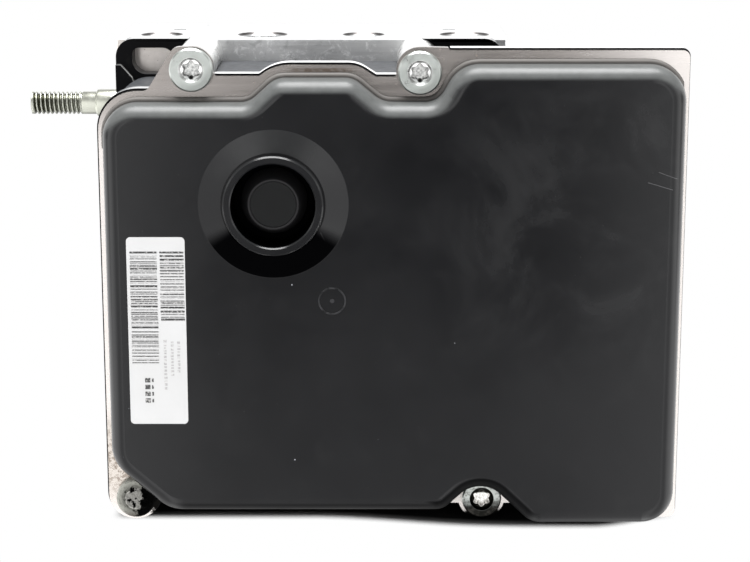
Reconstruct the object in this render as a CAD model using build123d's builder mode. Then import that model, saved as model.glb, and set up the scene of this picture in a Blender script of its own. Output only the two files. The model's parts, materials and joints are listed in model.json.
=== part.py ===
from build123d import *
import os
from math import cos, pi, radians, sin, sqrt

os.makedirs("parts", exist_ok=True)

# Anti-lock brake hydraulic module with its control unit bolted to the front.
# Frame: origin at the centre of the valve block's underside, +X towards the
# cable connector, +Y towards the pump motor, +Z up to the wheel ports.
# All lengths are in millimetres.

# ---------------------------------------------------------------- valve block
block_w = 100.0            # along X
block_t = 40.0             # along Y
block_h = 117.6            # along Z
block_front = -block_t / 2
block_back = block_t / 2
wheel_port_x = (-39.6, -13.2, 13.2, 39.6)
wheel_port_r = (4.6, 5.6, 4.6, 5.6)      # M10 and M12 bores in turn
wheel_port_y = -6.5
wheel_port_depth = 12.5
inlet_port_x = 34.0        # two master-cylinder ports on the back face
inlet_port_z = 100.0
inlet_port_r = 5.6
port_chamfer = 0.9
passage_r = 1.75           # drilled fluid passages
plug_x, plug_y = 36.0, 6.0

# ------------------------------------------------------------ control unit stack
plate_front = -52.0        # Y of the carrier plate's front face
plate_t = 2.0
plate_back = plate_front + plate_t
cover_h = 9.0              # the cover stands this far off the plate
cover_wall = 2.4
cover_round = 3.7
cover_flange_w, cover_flange_t = 1.0, 1.0
flange_round = 0.8
flange_left, flange_right = -49.2, 90.6      # X where the flange is trimmed
flange_low, flange_low_right = 4.6, 0.75     # Z of its lower edge, left and right of the notch
rim_over = 0.4             # the housing's rim stands proud of the plate
rim_t = 3.8
housing_wall = 4.0
ledge_z = 112.2
tower_top = 118.6
tower_t = 6.0

# outline of the carrier plate, (x, z) with the corner radius at each point
plate_outline = [
    (-50.85, 108.8, 9.6), (-38.9, 108.8, 2.0), (-32.2, 119.4, 2.6), (-22.7, 119.7, 5.0),
    (-22.7, 112.4, 0.8), (-11.7, 112.4, 0.8), (-8.0, 115.1, 11.0), (11.93, 115.1, 7.5),
    (16.4, 112.2, 0.8), (21.3, 112.2, 0.6), (21.5, 119.5, 5.6), (33.8, 119.3, 0.4),
    (34.2, 118.6, 0.3), (91.95, 118.6, 1.7), (91.95, 0.6, 1.9), (60.0, 0.6, 2.5),
    (57.0, 4.3, 2.0), (-43.9, 4.5, 0.0), (-43.9, 0.25, 0.0), (-50.85, 0.25, 6.4),
]
rim_left = -51.0           # the housing's rim reaches further left than the plate
bottom_ears = [(-43.9, 6.2), (43.0, 6.1)]
bottom_ear_r = 5.95
# outline of the cover's foot
cover_outline = [
    (-49.1, 106.4, 8.0), (-14.1, 106.4, 5.5), (-7.65, 112.3, 6.0), (11.0, 112.3, 5.6),
    (17.93, 106.5, 6.4), (31.3, 106.5, 5.3), (36.5, 115.6, 8.4), (90.5, 115.6, 8.5),
    (90.5, 1.35, 8.0), (55.0, 1.35, 6.0), (42.5, 13.25, 7.0), (33.2, 4.7, 5.0),
    (-35.05, 4.7, 9.6), (-49.1, 17.0, 9.4),
]

# ------------------------------------------------------------------ fasteners
ecu_screws = {
    "ecu_screw_top_left": (-27.95, 114.1),
    "ecu_screw_top_right": (27.0, 113.4),
    "ecu_screw_bottom_left": (-43.9, 6.2),
    "ecu_screw_bottom_right": (43.0, 6.1),
}
screw_r = 2.5              # M5
screw_end = -7.0           # Y of the screw's tip inside the block
head_r = 5.25             # the upper pair
low_head_r = 4.9          # the lower pair
head_h = 2.4
countersink_r = 3.0
sleeve_r = 5.25

# ----------------------------------------------------------------------- vent
vent_x, vent_z = -8.2, 82.7
vent_cone_r = 18.1
vent_ring_r, vent_ring_in = 12.1, 10.2
vent_ring_top = -63.8      # Y of the ring's face
vent_cone_top = -62.0
vent_floor = -55.2
post_base_r, post_top_r = 8.0, 5.5
post_top = -61.1

# ------------------------------------------------------------------ solenoids
valve_x = (-35.5, -12.0, 12.0, 35.5)
inlet_z, outlet_z = 86.0, 64.0
valve_stroke_in, valve_stroke_out = 0.35, 0.30

# ---------------------------------------------------------------------- motor
axis_z = 42.0              # height of the motor's shaft
pump_y = 8.0               # Y of the pump elements
ecc_throw = 1.2
ring_r = 9.0
ecc_bore_r = 15.0
piston_r = 3.2
piston_in = ring_r + ecc_throw + 0.05    # inner end at outer dead centre
acc_x = 28.0
acc_bore_r = 9.0
acc_top = 22.0
acc_stroke = 6.0

# ----------------------------------------------------------- mounting hardware
stud_z = 98.7
stud_r = 3.0               # M6
stud_tip = -75.4
stud_hole_end = 39.5       # X, to the left, where the stud's hole stops

# connector socket moulded on the housing, open towards +Y
sock_x0, sock_x1 = 57.0, 87.0
sock_z0, sock_z1 = 22.0, 98.0
sock_wall = 2.2
sock_mouth = 4.0
sock_floor = -35.0


def turning_plane(origin, direction, radial):
    """Plane whose local x is the radius and local y runs along the axis."""
    return Plane(origin=origin, x_dir=radial, z_dir=Vector(*radial).cross(Vector(*direction)))


plate_points = [(x, z) for x, z, r in plate_outline]
plate_radii = [r for x, z, r in plate_outline]
rim_points = [(rim_left if x < -50 else x, z) for x, z, r in plate_outline]
cover_points = [(x, z) for x, z, r in cover_outline]
cover_radii = [r for x, z, r in cover_outline]
Y_AXIS, X_AXIS, Z_AXIS = (0, 1, 0), (1, 0, 0), (0, 0, 1)
valve_spots = [(x, 0, inlet_z) for x in valve_x] + [(x, 0, outlet_z) for x in valve_x]
written = []


def keep(part, label):
    """Name a finished piece and write it to its own file."""
    part.label = label
    export_step(part, f"parts/{label}.step")
    written.append((label, len(part.solids()), round(part.volume / 1000, 3)))


# ============================================================ ECU COVER
# pillow-shaped moulding: a thin flange on the plate, an upright wall and a
# flat face with a rounded edge, hollow behind, with the vent well and its ring
with BuildPart() as ecu_cover:
    # flange bonded to the plate, its outer edge rounded, cut back round the screws
    with BuildSketch(Plane.XZ.offset(-plate_front)):
        with BuildLine():
            FilletPolyline(*cover_points, radius=cover_radii, close=True)
        make_face()
        offset(amount=cover_flange_w, kind=Kind.ARC)
    extrude(amount=cover_flange_t)
    fillet(ecu_cover.faces().sort_by(Axis.Y)[0].edges(), radius=flange_round)
    with BuildSketch(Plane.XZ.offset(-plate_front)):
        with Locations(*ecu_screws.values()):
            Circle(head_r + 0.25)
    extrude(amount=cover_flange_t, mode=Mode.SUBTRACT)
    # and trimmed flush along the two sides, the lower left corner and the lower edge
    with BuildSketch(Plane.XZ.offset(-plate_front)):
        with Locations((flange_left - 5, 15)):
            Rectangle(10, 160)
        with Locations((flange_right + 5, 60)):
            Rectangle(10, 160)
        Polygon((-33.9, 3.55), (-60.0, 26.35), (-60.0, -10.0), (-33.9, -10.0), align=None)
        with Locations((0, flange_low - 5)):
            Rectangle(113, 10)
        with Locations((75, flange_low_right - 5)):
            Rectangle(60, 10)
    extrude(amount=cover_flange_t, mode=Mode.SUBTRACT)
    with BuildSketch(Plane.XZ.offset(-plate_front)):
        with BuildLine():
            FilletPolyline(*cover_points, radius=cover_radii, close=True)
        make_face()
    extrude(amount=cover_h)
    front_edges = ecu_cover.faces().sort_by(Axis.Y)[0].edges()
    fillet(front_edges, radius=cover_round)
    # hollow behind
    with BuildSketch(Plane.XZ.offset(-plate_front)):
        with BuildLine():
            FilletPolyline(*cover_points, radius=cover_radii, close=True)
        make_face()
        offset(amount=-cover_wall, kind=Kind.ARC)
    extrude(amount=cover_h - cover_wall, mode=Mode.SUBTRACT)
    # relief in the wall's foot for the heads of the two lower screws
    with BuildSketch(Plane.XZ.offset(-plate_front)):
        with Locations(ecu_screws["ecu_screw_bottom_left"], ecu_screws["ecu_screw_bottom_right"]):
            Circle(low_head_r + 0.2)
    extrude(amount=head_h + 0.2, mode=Mode.SUBTRACT)
    # shallow cone, ring and well of the vent
    with BuildSketch(turning_plane((vent_x, 0, vent_z), Y_AXIS, X_AXIS)):
        with BuildLine():
            Polyline(
                (0, -54.0), (vent_ring_r, -54.0), (vent_ring_r, -60.5), (vent_cone_r, -60.5),
                (vent_cone_r, -61.0), (vent_ring_r + 0.5, vent_cone_top), (vent_ring_r + 0.5, -61.9),
                (vent_ring_r, -61.9), (vent_ring_r, vent_ring_top + 0.35), (vent_ring_r - 0.35, vent_ring_top),
                (0, vent_ring_top), close=True)
        make_face()
    revolve(axis=Axis((vent_x, 0, vent_z), Y_AXIS))
    with BuildSketch(turning_plane((vent_x, 0, vent_z), Y_AXIS, X_AXIS)):
        with BuildLine():
            Polyline(
                (0, -54.0), (3.0, -54.0), (3.0, vent_floor), (vent_ring_in - 0.6, vent_floor),
                (vent_ring_in, vent_floor - 0.6), (vent_ring_in, vent_ring_top + 0.3),
                (vent_ring_in + 0.3, vent_ring_top), (0, vent_ring_top), close=True)
        make_face()
    revolve(axis=Axis((vent_x, 0, vent_z), Y_AXIS), mode=Mode.SUBTRACT)
    # small round mould-date mark: a fine raised ring with a centre dot
    with BuildSketch(Plane.XZ.offset(-plate_front + cover_h)):
        with Locations((5.8, 58.9)):
            Circle(3.4)
            Circle(3.0, mode=Mode.SUBTRACT)
            Circle(0.55)
    extrude(amount=0.15)
keep(ecu_cover.part, "ecu_cover")

# vent plug: a tapered post standing in the well, its stem through the floor
with BuildPart() as vent_plug:
    with BuildSketch(turning_plane((vent_x, 0, vent_z), Y_AXIS, X_AXIS)):
        with BuildLine():
            Polyline(
                (0, -54.0), (2.95, -54.0), (2.95, vent_floor), (post_base_r, vent_floor),
                (post_base_r, vent_floor - 0.8), (post_top_r + 0.9, post_top + 0.5),
                (post_top_r + 0.6, post_top), (post_top_r + 0.15, post_top),
                (post_top_r + 0.15, post_top + 0.6), (0, post_top + 0.6), close=True)
        make_face()
    revolve(axis=Axis((vent_x, 0, vent_z), Y_AXIS))
keep(vent_plug.part, "vent_plug")

# vent membrane: the thin disc in the head of the post
with BuildPart() as vent_membrane:
    with BuildSketch(Plane.XZ.offset(-(post_top + 0.6))):
        with Locations((vent_x, vent_z)):
            Circle(post_top_r)
    extrude(amount=0.5)
keep(vent_membrane.part, "vent_membrane")

# paper label on the cover's face
with BuildPart() as label_plate:
    with BuildSketch(Plane.XZ.offset(-plate_front + cover_h)):
        with Locations((-36.7, 51.3)):
            RectangleRounded(14.1, 46.8, 1.0)
    extrude(amount=0.15)
keep(label_plate.part, "cover_label")

# ============================================================ CARRIER PLATE
with BuildPart() as carrier_plate:
    with BuildSketch(Plane.XZ.offset(-plate_front)):
        with BuildLine():
            FilletPolyline(*plate_points, radius=plate_radii, close=True)
        make_face()
        with Locations(*bottom_ears):
            Circle(bottom_ear_r)
        with Locations(*ecu_screws.values()):
            Circle(screw_r + 0.25, mode=Mode.SUBTRACT)
        with Locations((0, 75.0)):
            SlotOverall(84.0, 6.0, mode=Mode.SUBTRACT)        # coil terminals
        with Locations((0, 19.5)):
            Circle(4.6, mode=Mode.SUBTRACT)                   # motor pins
        with Locations((72.0, 60.0)):
            RectangleRounded(18.0, 70.0, 2.0, mode=Mode.SUBTRACT)   # connector pins
    extrude(amount=-plate_t)
keep(carrier_plate.part, "carrier_plate")

# ============================================================ ELECTRONICS
board_back = plate_front
board_front = plate_front - 1.6
with BuildPart() as circuit_board:
    with BuildSketch(Plane.XZ.offset(-board_back)):
        with BuildLine():
            FilletPolyline(
                (-45.0, 101.0), (84.0, 101.0), (84.0, 16.0), (-37.5, 16.0), (-45.0, 23.0),
                radius=(3.0, 3.0, 3.0, 1.0, 1.0), close=True)
        make_face()
        with Locations((-41.0, 97.0), (80.0, 97.0), (80.0, 20.0), (-32.0, 20.5)):
            Circle(1.6, mode=Mode.SUBTRACT)
    extrude(amount=1.6)
keep(circuit_board.part, "circuit_board")

with BuildPart() as processor_chip:
    with BuildSketch(Plane.XZ.offset(-board_front)):
        with Locations((32.0, 60.0)):
            RectangleRounded(20.0, 20.0, 0.5)
    extrude(amount=1.6)
    chamfer(processor_chip.faces().sort_by(Axis.Y)[0].edges(), length=0.25)
keep(processor_chip.part, "processor_chip")

with BuildPart() as driver_chips:
    with BuildSketch(Plane.XZ.offset(-board_front)):
        with Locations((-26.0, 56.0), (-4.0, 52.0), (32.0, 34.0)):
            RectangleRounded(12.0, 14.0, 0.4)
        with Locations((-10.0, 28.0), (2.0, 28.0), (14.0, 28.0)):
            RectangleRounded(9.0, 10.0, 0.4)
    extrude(amount=2.0)
keep(driver_chips.part, "driver_chips")

with BuildPart() as board_capacitors:
    with BuildSketch(Plane.XZ.offset(-board_front)):
        with Locations((54.0, 92.0), (66.0, 92.0), (-30.0, 34.0), (-30.0, 24.0)):
            Circle(4.0)
    extrude(amount=4.4)
    fillet(board_capacitors.faces().sort_by(Axis.Y)[:4].edges(), radius=0.5)
keep(board_capacitors.part, "board_capacitors")

# connector pins: thin signal pins in two rows, and four wide blades
signal_pin_spots = [(x, 34.0 + 4.0 * i) for i in range(11) for x in (67.5, 76.5)]
power_pin_spots = [(67.0, 82.0), (67.0, 89.5), (77.0, 82.0), (77.0, 89.5)]
pin_tip = -22.0
with BuildPart() as connector_pins:
    with BuildSketch(Plane.XZ.offset(-board_back)):
        with Locations(*signal_pin_spots):
            Rectangle(0.8, 0.8)
        with Locations(*power_pin_spots):
            Rectangle(0.8, 4.8)
    extrude(amount=-(pin_tip - board_back))
keep(connector_pins.part, "connector_pins")

coil_pin_spots = [(x + d, z) for x in valve_x for d in (-2.5, 2.5) for z in (inlet_z - 9.0, outlet_z + 9.0)]
with BuildPart() as coil_terminals:
    with BuildSketch(Plane.XZ.offset(-board_back)):
        with Locations(*coil_pin_spots):
            Rectangle(0.8, 0.8)
    extrude(amount=-(-44.2 - board_back))
keep(coil_terminals.part, "coil_terminals")

with BuildPart() as motor_pins:
    with BuildSketch(Plane.XZ.offset(-board_back)):
        with Locations((-2.4, 19.5), (2.4, 19.5)):
            Circle(1.0)
    extrude(amount=-(20.05 - board_back))
keep(motor_pins.part, "motor_pins")

# ============================================================ ECU HOUSING
with BuildPart() as ecu_housing:
    # front rim, a little proud of the plate all round except at the top ears
    with BuildSketch(Plane.XZ.offset(-plate_back)):
        with BuildLine():
            FilletPolyline(*rim_points, radius=plate_radii, close=True)
        make_face()
        with Locations(*bottom_ears):
            Circle(bottom_ear_r)
        offset(amount=rim_over, kind=Kind.ARC)
        with BuildLine():
            Polyline((-60, 109.2), (-38.6, 109.2), (-36.4, 112.8), (-11.9, 112.8), (-11.9, 125), (-60, 125), close=True)
        make_face(mode=Mode.SUBTRACT)
        with BuildLine():
            Polyline((16.6, 112.6), (34.2, 112.6), (34.2, 125), (16.6, 125), close=True)
        make_face(mode=Mode.SUBTRACT)
        with Locations((0, -1.9)):
            Rectangle(220, 4.2, mode=Mode.SUBTRACT)
    extrude(amount=-rim_t)
    # body that wraps the solenoids, up to the block's face
    with BuildSketch(Plane.XZ.offset(-(plate_back + rim_t))):
        with BuildLine():
            FilletPolyline(
                (-49.4, 109.0), (-38.0, 109.0), (-36.0, ledge_z), (50.5, ledge_z), (50.5, 4.2), (-49.4, 4.2),
                radius=(8.6, 1.0, 1.0, 0.5, 0.5, 3.0), close=True)
        make_face()
    extrude(amount=-(block_front - plate_back - rim_t))
    # rear towers beside the top screws
    with BuildSketch(Plane.XZ.offset(-(block_front - tower_t))):
        with BuildLine():
            FilletPolyline(
                (-49.4, 100.0), (-49.4, tower_top), (-27.5, tower_top), (-27.5, 100.0),
                radius=(0, 4.6, 0, 0), close=True)
        make_face()
        with BuildLine():
            FilletPolyline(
                (27.5, 100.0), (27.5, tower_top), (48.5, tower_top), (48.5, 100.0),
                radius=(0, 0, 4.6, 0), close=True)
        make_face()
    extrude(amount=-tower_t)
    # gusset at the left tower's foot
    with BuildSketch(Plane.XZ.offset(-(block_front - tower_t) + 1.2)):
        with BuildLine():
            Polyline((-49.4, 112.0), (-48.1, 112.0), (-45.2, 108.8), (-44.7, 107.4), (-44.7, 104.0), (-49.4, 104.0), close=True)
        make_face()
    extrude(amount=-1.2)
    # rounded window in the left tower
    with BuildSketch(Plane.XZ.offset(-(block_front - tower_t) + 2.0)):
        with BuildLine():
            FilletPolyline(
                (-45.2, 109.65), (-45.2, 116.3), (-34.6, 116.3), (-34.6, 109.65),
                radius=(3.4, 1.6, 3.0, 1.0), close=True)
        make_face()
    extrude(amount=-(tower_t + 2.0), mode=Mode.SUBTRACT)
    # overhanging tray behind the right-hand part of the plate
    with BuildSketch(Plane.XZ.offset(-(plate_back + rim_t))):
        with BuildLine():
            FilletPolyline(
                (49.0, 3.0), (49.0, 116.5), (90.0, 116.5), (90.0, 3.0),
                radius=(0, 2.0, 4.0, 4.0), close=True)
        make_face()
    extrude(amount=-(-38.0 - plate_back - rim_t))
    # connector socket
    with BuildSketch(Plane.XZ.offset(38.0)):
        with Locations(((sock_x0 + sock_x1) / 2, (sock_z0 + sock_z1) / 2)):
            RectangleRounded(sock_x1 - sock_x0, sock_z1 - sock_z0, 4.5)
    extrude(amount=-(sock_mouth + 38.0))
    with BuildSketch(Plane.XZ.offset(-sock_floor)):
        with Locations(((sock_x0 + sock_x1) / 2, (sock_z0 + sock_z1) / 2)):
            RectangleRounded(sock_x1 - sock_x0 - 2 * sock_wall, sock_z1 - sock_z0 - 2 * sock_wall, 3.0)
    extrude(amount=-(sock_mouth - sock_floor), mode=Mode.SUBTRACT)
    # latch rails outside the socket
    with BuildSketch(Plane.XZ.offset(20.0)):
        with Locations((sock_x1 + 0.9, 48.0), (sock_x1 + 0.9, 72.0)):
            Rectangle(2.2, 3.0)
    extrude(amount=-20.0)
    # pocket for the front ends of the connector pins
    with BuildSketch(Plane.XZ.offset(-plate_back)):
        with Locations((72.0, 60.0)):
            RectangleRounded(26.0, 80.0, 3.0)
    extrude(amount=-9.0, mode=Mode.SUBTRACT)
    # rear pocket for the coils, its slot for the terminals, and the motor pins' way
    with BuildSketch(Plane.XZ.offset(-block_front)):
        with Locations((0, 75.0)):
            RectangleRounded(92.4, 46.0, 4.0)
    extrude(amount=-block_front - plate_back - housing_wall + 2 * block_front, mode=Mode.SUBTRACT)
    with BuildSketch(Plane.XZ.offset(-plate_back)):
        with Locations((0, 75.0)):
            SlotOverall(84.0, 6.4)
        with Locations((0, 19.5)):
            Circle(5.0)
    extrude(amount=-(block_front - plate_back), mode=Mode.SUBTRACT)
    # lightening pocket below the coils
    with BuildSketch(Plane.XZ.offset(-block_front)):
        with Locations((-26.5, 30.0), (26.5, 30.0)):
            RectangleRounded(37.0, 31.0, 3.0)
    extrude(amount=25.0, mode=Mode.SUBTRACT)
    # seal groove round the coil pocket
    with BuildSketch(Plane.XZ.offset(-block_front)):
        with Locations((0, 75.0)):
            RectangleRounded(96.6, 54.0, 5.0)
            RectangleRounded(94.2, 51.6, 4.0, mode=Mode.SUBTRACT)
    extrude(amount=1.4, mode=Mode.SUBTRACT)
    # clearance for the four spacer sleeves
    with BuildSketch(Plane.XZ.offset(-plate_back + 1.0)):
        with Locations(*ecu_screws.values()):
            Circle(sleeve_r + 0.1)
    extrude(amount=-(block_front - plate_back + 2.0), mode=Mode.SUBTRACT)
    # the pins are moulded in
    with BuildSketch(Plane.XZ.offset(-board_back)):
        with Locations(*signal_pin_spots):
            Rectangle(0.8, 0.8)
        with Locations(*power_pin_spots):
            Rectangle(0.8, 4.8)
    extrude(amount=-(pin_tip - board_back), mode=Mode.SUBTRACT)
keep(ecu_housing.part, "ecu_housing")

with BuildPart() as housing_gasket:
    with BuildSketch(Plane.XZ.offset(-block_front)):
        with Locations((0, 75.0)):
            RectangleRounded(96.5, 53.9, 4.9)
            RectangleRounded(94.3, 51.7, 4.1, mode=Mode.SUBTRACT)
    extrude(amount=1.35)
keep(housing_gasket.part, "housing_gasket")

# ============================================================ ECU SCREWS
# low cylindrical head with a flat face, a round countersink and a six-lobe socket
for screw_name, (sx, sz) in ecu_screws.items():
    hr = head_r if sz > 60 else low_head_r
    with BuildPart() as ecu_screw:
        with BuildSketch(turning_plane((sx, 0, sz), Y_AXIS, X_AXIS)):
            with BuildLine():
                Polyline(
                    (0, screw_end), (screw_r - 0.6, screw_end), (screw_r, screw_end - 0.6),
                    (screw_r, plate_front), (hr, plate_front), (hr, plate_front - head_h + 0.35),
                    (hr - 0.35, plate_front - head_h), (countersink_r, plate_front - head_h),
                    (countersink_r - 0.6, plate_front - head_h + 0.75), (0, plate_front - head_h + 0.75),
                    close=True)
            make_face()
        revolve(axis=Axis((sx, 0, sz), Y_AXIS))
        with BuildSketch(Plane.XZ.offset(-plate_front + 0.1)):
            with Locations((sx, sz)):
                Circle(1.75)
                with PolarLocations(1.75, 6, start_angle=90):
                    Circle(0.5)
        extrude(amount=3.0, mode=Mode.SUBTRACT)
    keep(ecu_screw.part, screw_name)

with BuildPart() as spacer_sleeves:
    with BuildSketch(Plane.XZ.offset(-plate_back)):
        with Locations(*ecu_screws.values()):
            Circle(sleeve_r)
            Circle(screw_r + 0.25, mode=Mode.SUBTRACT)
    extrude(amount=-(block_front - plate_back))
keep(spacer_sleeves.part, "spacer_sleeves")

# ============================================================ VALVE BLOCK
with BuildPart() as valve_block:
    with BuildSketch(Plane.XY):
        Rectangle(block_w, block_t)
    extrude(amount=block_h)
    chamfer(valve_block.edges().filter_by(Axis.Z), length=0.5)
    # wheel ports, with a chamfered mouth and a passage down to the valves
    for px, pr in zip(wheel_port_x, wheel_port_r):
        with BuildSketch(turning_plane((px, wheel_port_y, 0), Z_AXIS, X_AXIS)):
            with BuildLine():
                Polyline(
                    (0, block_h), (pr + port_chamfer, block_h), (pr, block_h - port_chamfer),
                    (pr, block_h - wheel_port_depth), (passage_r, block_h - wheel_port_depth - 2.0),
                    (passage_r, outlet_z), (0, outlet_z), close=True)
            make_face()
        revolve(axis=Axis((px, wheel_port_y, 0), Z_AXIS), mode=Mode.SUBTRACT)
    # master-cylinder ports on the back
    for px in (-inlet_port_x, inlet_port_x):
        with BuildSketch(turning_plane((px, 0, inlet_port_z), Y_AXIS, X_AXIS)):
            with BuildLine():
                Polyline(
                    (0, block_back), (inlet_port_r + port_chamfer, block_back),
                    (inlet_port_r, block_back - port_chamfer), (inlet_port_r, block_back - 12.5),
                    (passage_r, block_back - 14.5), (passage_r, 4.5), (0, 4.5), close=True)
            make_face()
        revolve(axis=Axis((px, 0, inlet_port_z), Y_AXIS), mode=Mode.SUBTRACT)
    # drilled passages closed by press-in plugs
    with BuildSketch(Plane.XY.offset(block_h)):
        with Locations((-plug_x, plug_y), (plug_x, plug_y)):
            Circle(passage_r)
    extrude(amount=-(block_h - inlet_z + 1.5), mode=Mode.SUBTRACT)
    with BuildSketch(Plane.XZ.offset(-block_back)):
        with Locations((-plug_x, inlet_z), (plug_x, inlet_z)):
            Circle(passage_r)
    extrude(amount=block_back - 0.5, mode=Mode.SUBTRACT)
    with BuildSketch(Plane.YZ.offset(block_w / 2)):
        with Locations((1.5, inlet_z), (1.5, outlet_z)):
            Circle(passage_r)
    extrude(amount=-block_w, mode=Mode.SUBTRACT)
    with BuildSketch(Plane.XY.offset(acc_top)):
        with Locations((-acc_x, -1.2), (acc_x, -1.2)):
            Circle(1.4)
    extrude(amount=outlet_z - acc_top, mode=Mode.SUBTRACT)
    # stepped bores for the solenoid valves
    for vx, vy, vz in valve_spots:
        with BuildSketch(turning_plane((vx, block_front, vz), Y_AXIS, X_AXIS)):
            with BuildLine():
                Polyline((0, 0), (6.0, 0), (6.0, 4.0), (5.0, 4.0), (5.0, 16.0), (3.2, 16.0), (3.2, 20.0), (0, 20.0), close=True)
            make_face()
        revolve(axis=Axis((vx, block_front, vz), Y_AXIS), mode=Mode.SUBTRACT)
    # eccentric chamber and the way for the motor pins
    with BuildSketch(Plane.XZ.offset(-block_back)):
        with Locations((0, axis_z)):
            Circle(ecc_bore_r)
    extrude(amount=22.0, mode=Mode.SUBTRACT)
    with BuildSketch(Plane.XZ.offset(-block_back)):
        with Locations((0, 19.5)):
            Circle(5.0)
    extrude(amount=block_t, mode=Mode.SUBTRACT)
    # pump bores from both sides
    for side in (-1, 1):
        with BuildSketch(turning_plane((0, pump_y, axis_z), (side, 0, 0), Z_AXIS)):
            with BuildLine():
                Polyline((0, 8.0), (6.5, 8.0), (6.5, 34.0), (8.0, 34.0), (8.0, 50.0), (0, 50.0), close=True)
            make_face()
        revolve(axis=Axis((0, pump_y, axis_z), X_AXIS), mode=Mode.SUBTRACT)
    # low-pressure accumulators, from the underside
    with BuildSketch(Plane.XY):
        with Locations((-acc_x, 0), (acc_x, 0)):
            Circle(acc_bore_r)
    extrude(amount=acc_top, mode=Mode.SUBTRACT)
    # threaded holes: control unit, motor, mounting stud and underside fixings
    with BuildSketch(Plane.XZ.offset(-block_front)):
        with Locations(*ecu_screws.values()):
            Circle(screw_r + 0.05)
    extrude(amount=-14.0, mode=Mode.SUBTRACT)
    with BuildSketch(Plane.XZ.offset(-block_back)):
        with Locations((0, axis_z)):
            with PolarLocations(31.0, 3, start_angle=90):
                Circle(screw_r + 0.05)
    extrude(amount=13.0, mode=Mode.SUBTRACT)
    with BuildSketch(Plane.YZ.offset(-block_w / 2)):
        with Locations((0, stud_z)):
            Circle(stud_r)
    extrude(amount=block_w / 2 - stud_hole_end, mode=Mode.SUBTRACT)
    with BuildSketch(Plane.XY):
        with Locations((-10.0, 8.0), (10.0, 8.0)):
            Circle(2.5)
    extrude(amount=12.0, mode=Mode.SUBTRACT)
keep(valve_block.part, "valve_block")

# press-in plugs that close the drilled passages
with BuildPart() as passage_plugs:
    with BuildSketch(Plane.XY.offset(block_h - 0.3)):
        with Locations((-plug_x, plug_y), (plug_x, plug_y)):
            Circle(passage_r)
    extrude(amount=-3.0)
    with BuildSketch(Plane.XZ.offset(-(block_back - 0.3))):
        with Locations((-plug_x, inlet_z), (plug_x, inlet_z)):
            Circle(passage_r)
    extrude(amount=3.0)
    with BuildSketch(Plane.YZ.offset(block_w / 2 - 0.3)):
        with Locations((1.5, inlet_z), (1.5, outlet_z)):
            Circle(passage_r)
    extrude(amount=-3.0)
    with BuildSketch(Plane.YZ.offset(-(block_w / 2 - 0.3))):
        with Locations((1.5, inlet_z), (1.5, outlet_z)):
            Circle(passage_r)
    extrude(amount=3.0)
keep(passage_plugs.part, "passage_plugs")

# ============================================================ SOLENOID VALVES
# Each valve is pressed in the block; its closed sleeve stands out of the front
# face and carries the coil. Heights below are measured from the block's face.
face = block_front
with BuildPart() as inlet_body:
    with BuildSketch(turning_plane((0, face, 0), Y_AXIS, X_AXIS)):
        with BuildLine():
            Polyline(
                (0, -24.0), (4.5, -24.0), (4.5, 0), (6.0, 0), (6.0, 4.0), (5.0, 4.0), (5.0, 16.0),
                (3.2, 16.0), (3.2, 19.9), (0.7, 19.9), (0.7, 13.0), (2.2, 13.0), (2.2, 8.0),
                (1.25, 8.0), (1.25, -4.0), (2.2, -4.0), (2.2, -11.0), (3.5, -11.0), (3.5, -23.0),
                (0, -23.0), close=True)
        make_face()
    revolve(axis=Axis((0, face, 0), Y_AXIS))
    with BuildSketch(Plane.XY):
        with Locations((0, face + 10.5)):
            Circle(0.8)
    extrude(amount=6.0, both=True, mode=Mode.SUBTRACT)
with BuildPart() as inlet_valves:
    with Locations(*[(x, 0, inlet_z) for x in valve_x]):
        add(inlet_body.part)
keep(inlet_valves.part, "inlet_valves")

with BuildPart() as outlet_body:
    with BuildSketch(turning_plane((0, face, 0), Y_AXIS, X_AXIS)):
        with BuildLine():
            Polyline(
                (0, -24.0), (4.5, -24.0), (4.5, 0), (6.0, 0), (6.0, 4.0), (5.0, 4.0), (5.0, 16.0),
                (3.2, 16.0), (3.2, 19.9), (0.7, 19.9), (0.7, 13.0), (2.2, 13.0), (2.2, 4.0),
                (3.5, 4.0), (3.5, -15.0), (0, -15.0), close=True)
        make_face()
    revolve(axis=Axis((0, face, 0), Y_AXIS))
    with BuildSketch(Plane.XY):
        with Locations((0, face + 10.5)):
            Circle(0.8)
    extrude(amount=6.0, both=True, mode=Mode.SUBTRACT)
with BuildPart() as outlet_valves:
    with Locations(*[(x, 0, outlet_z) for x in valve_x]):
        add(outlet_body.part)
keep(outlet_valves.part, "outlet_valves")

# inlet armature with its push rod: closes its seat when energised
ball_r = 1.2
seat_gap = sqrt(ball_r**2 - 0.7**2)
in_ball = 13.0 - seat_gap - 0.03 - valve_stroke_in
with BuildPart() as inlet_armature:
    with BuildSketch(turning_plane((0, face, 0), Y_AXIS, X_AXIS)):
        with BuildLine():
            Polyline(
                (0, -22.4), (3.1, -22.4), (3.45, -22.05), (3.45, -11.5), (ball_r, -11.5),
                (ball_r, in_ball))
            RadiusArc((ball_r, in_ball), (0, in_ball + ball_r), -ball_r)
            Line((0, in_ball + ball_r), (0, -22.4))
        make_face()
    revolve(axis=Axis((0, face, 0), Y_AXIS))

# outlet armature with its seat ball: held closed by its spring
out_ball = 13.0 - seat_gap - 0.03
with BuildPart() as outlet_armature:
    with BuildSketch(turning_plane((0, face, 0), Y_AXIS, X_AXIS)):
        with BuildLine():
            Polyline(
                (0, -8.0), (1.6, -8.0), (1.6, -14.45), (3.2, -14.45), (3.45, -14.2), (3.45, 3.0),
                (ball_r, 3.4), (ball_r, out_ball))
            RadiusArc((ball_r, out_ball), (0, out_ball + ball_r), -ball_r)
            Line((0, out_ball + ball_r), (0, -8.0))
        make_face()
    revolve(axis=Axis((0, face, 0), Y_AXIS))

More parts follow.
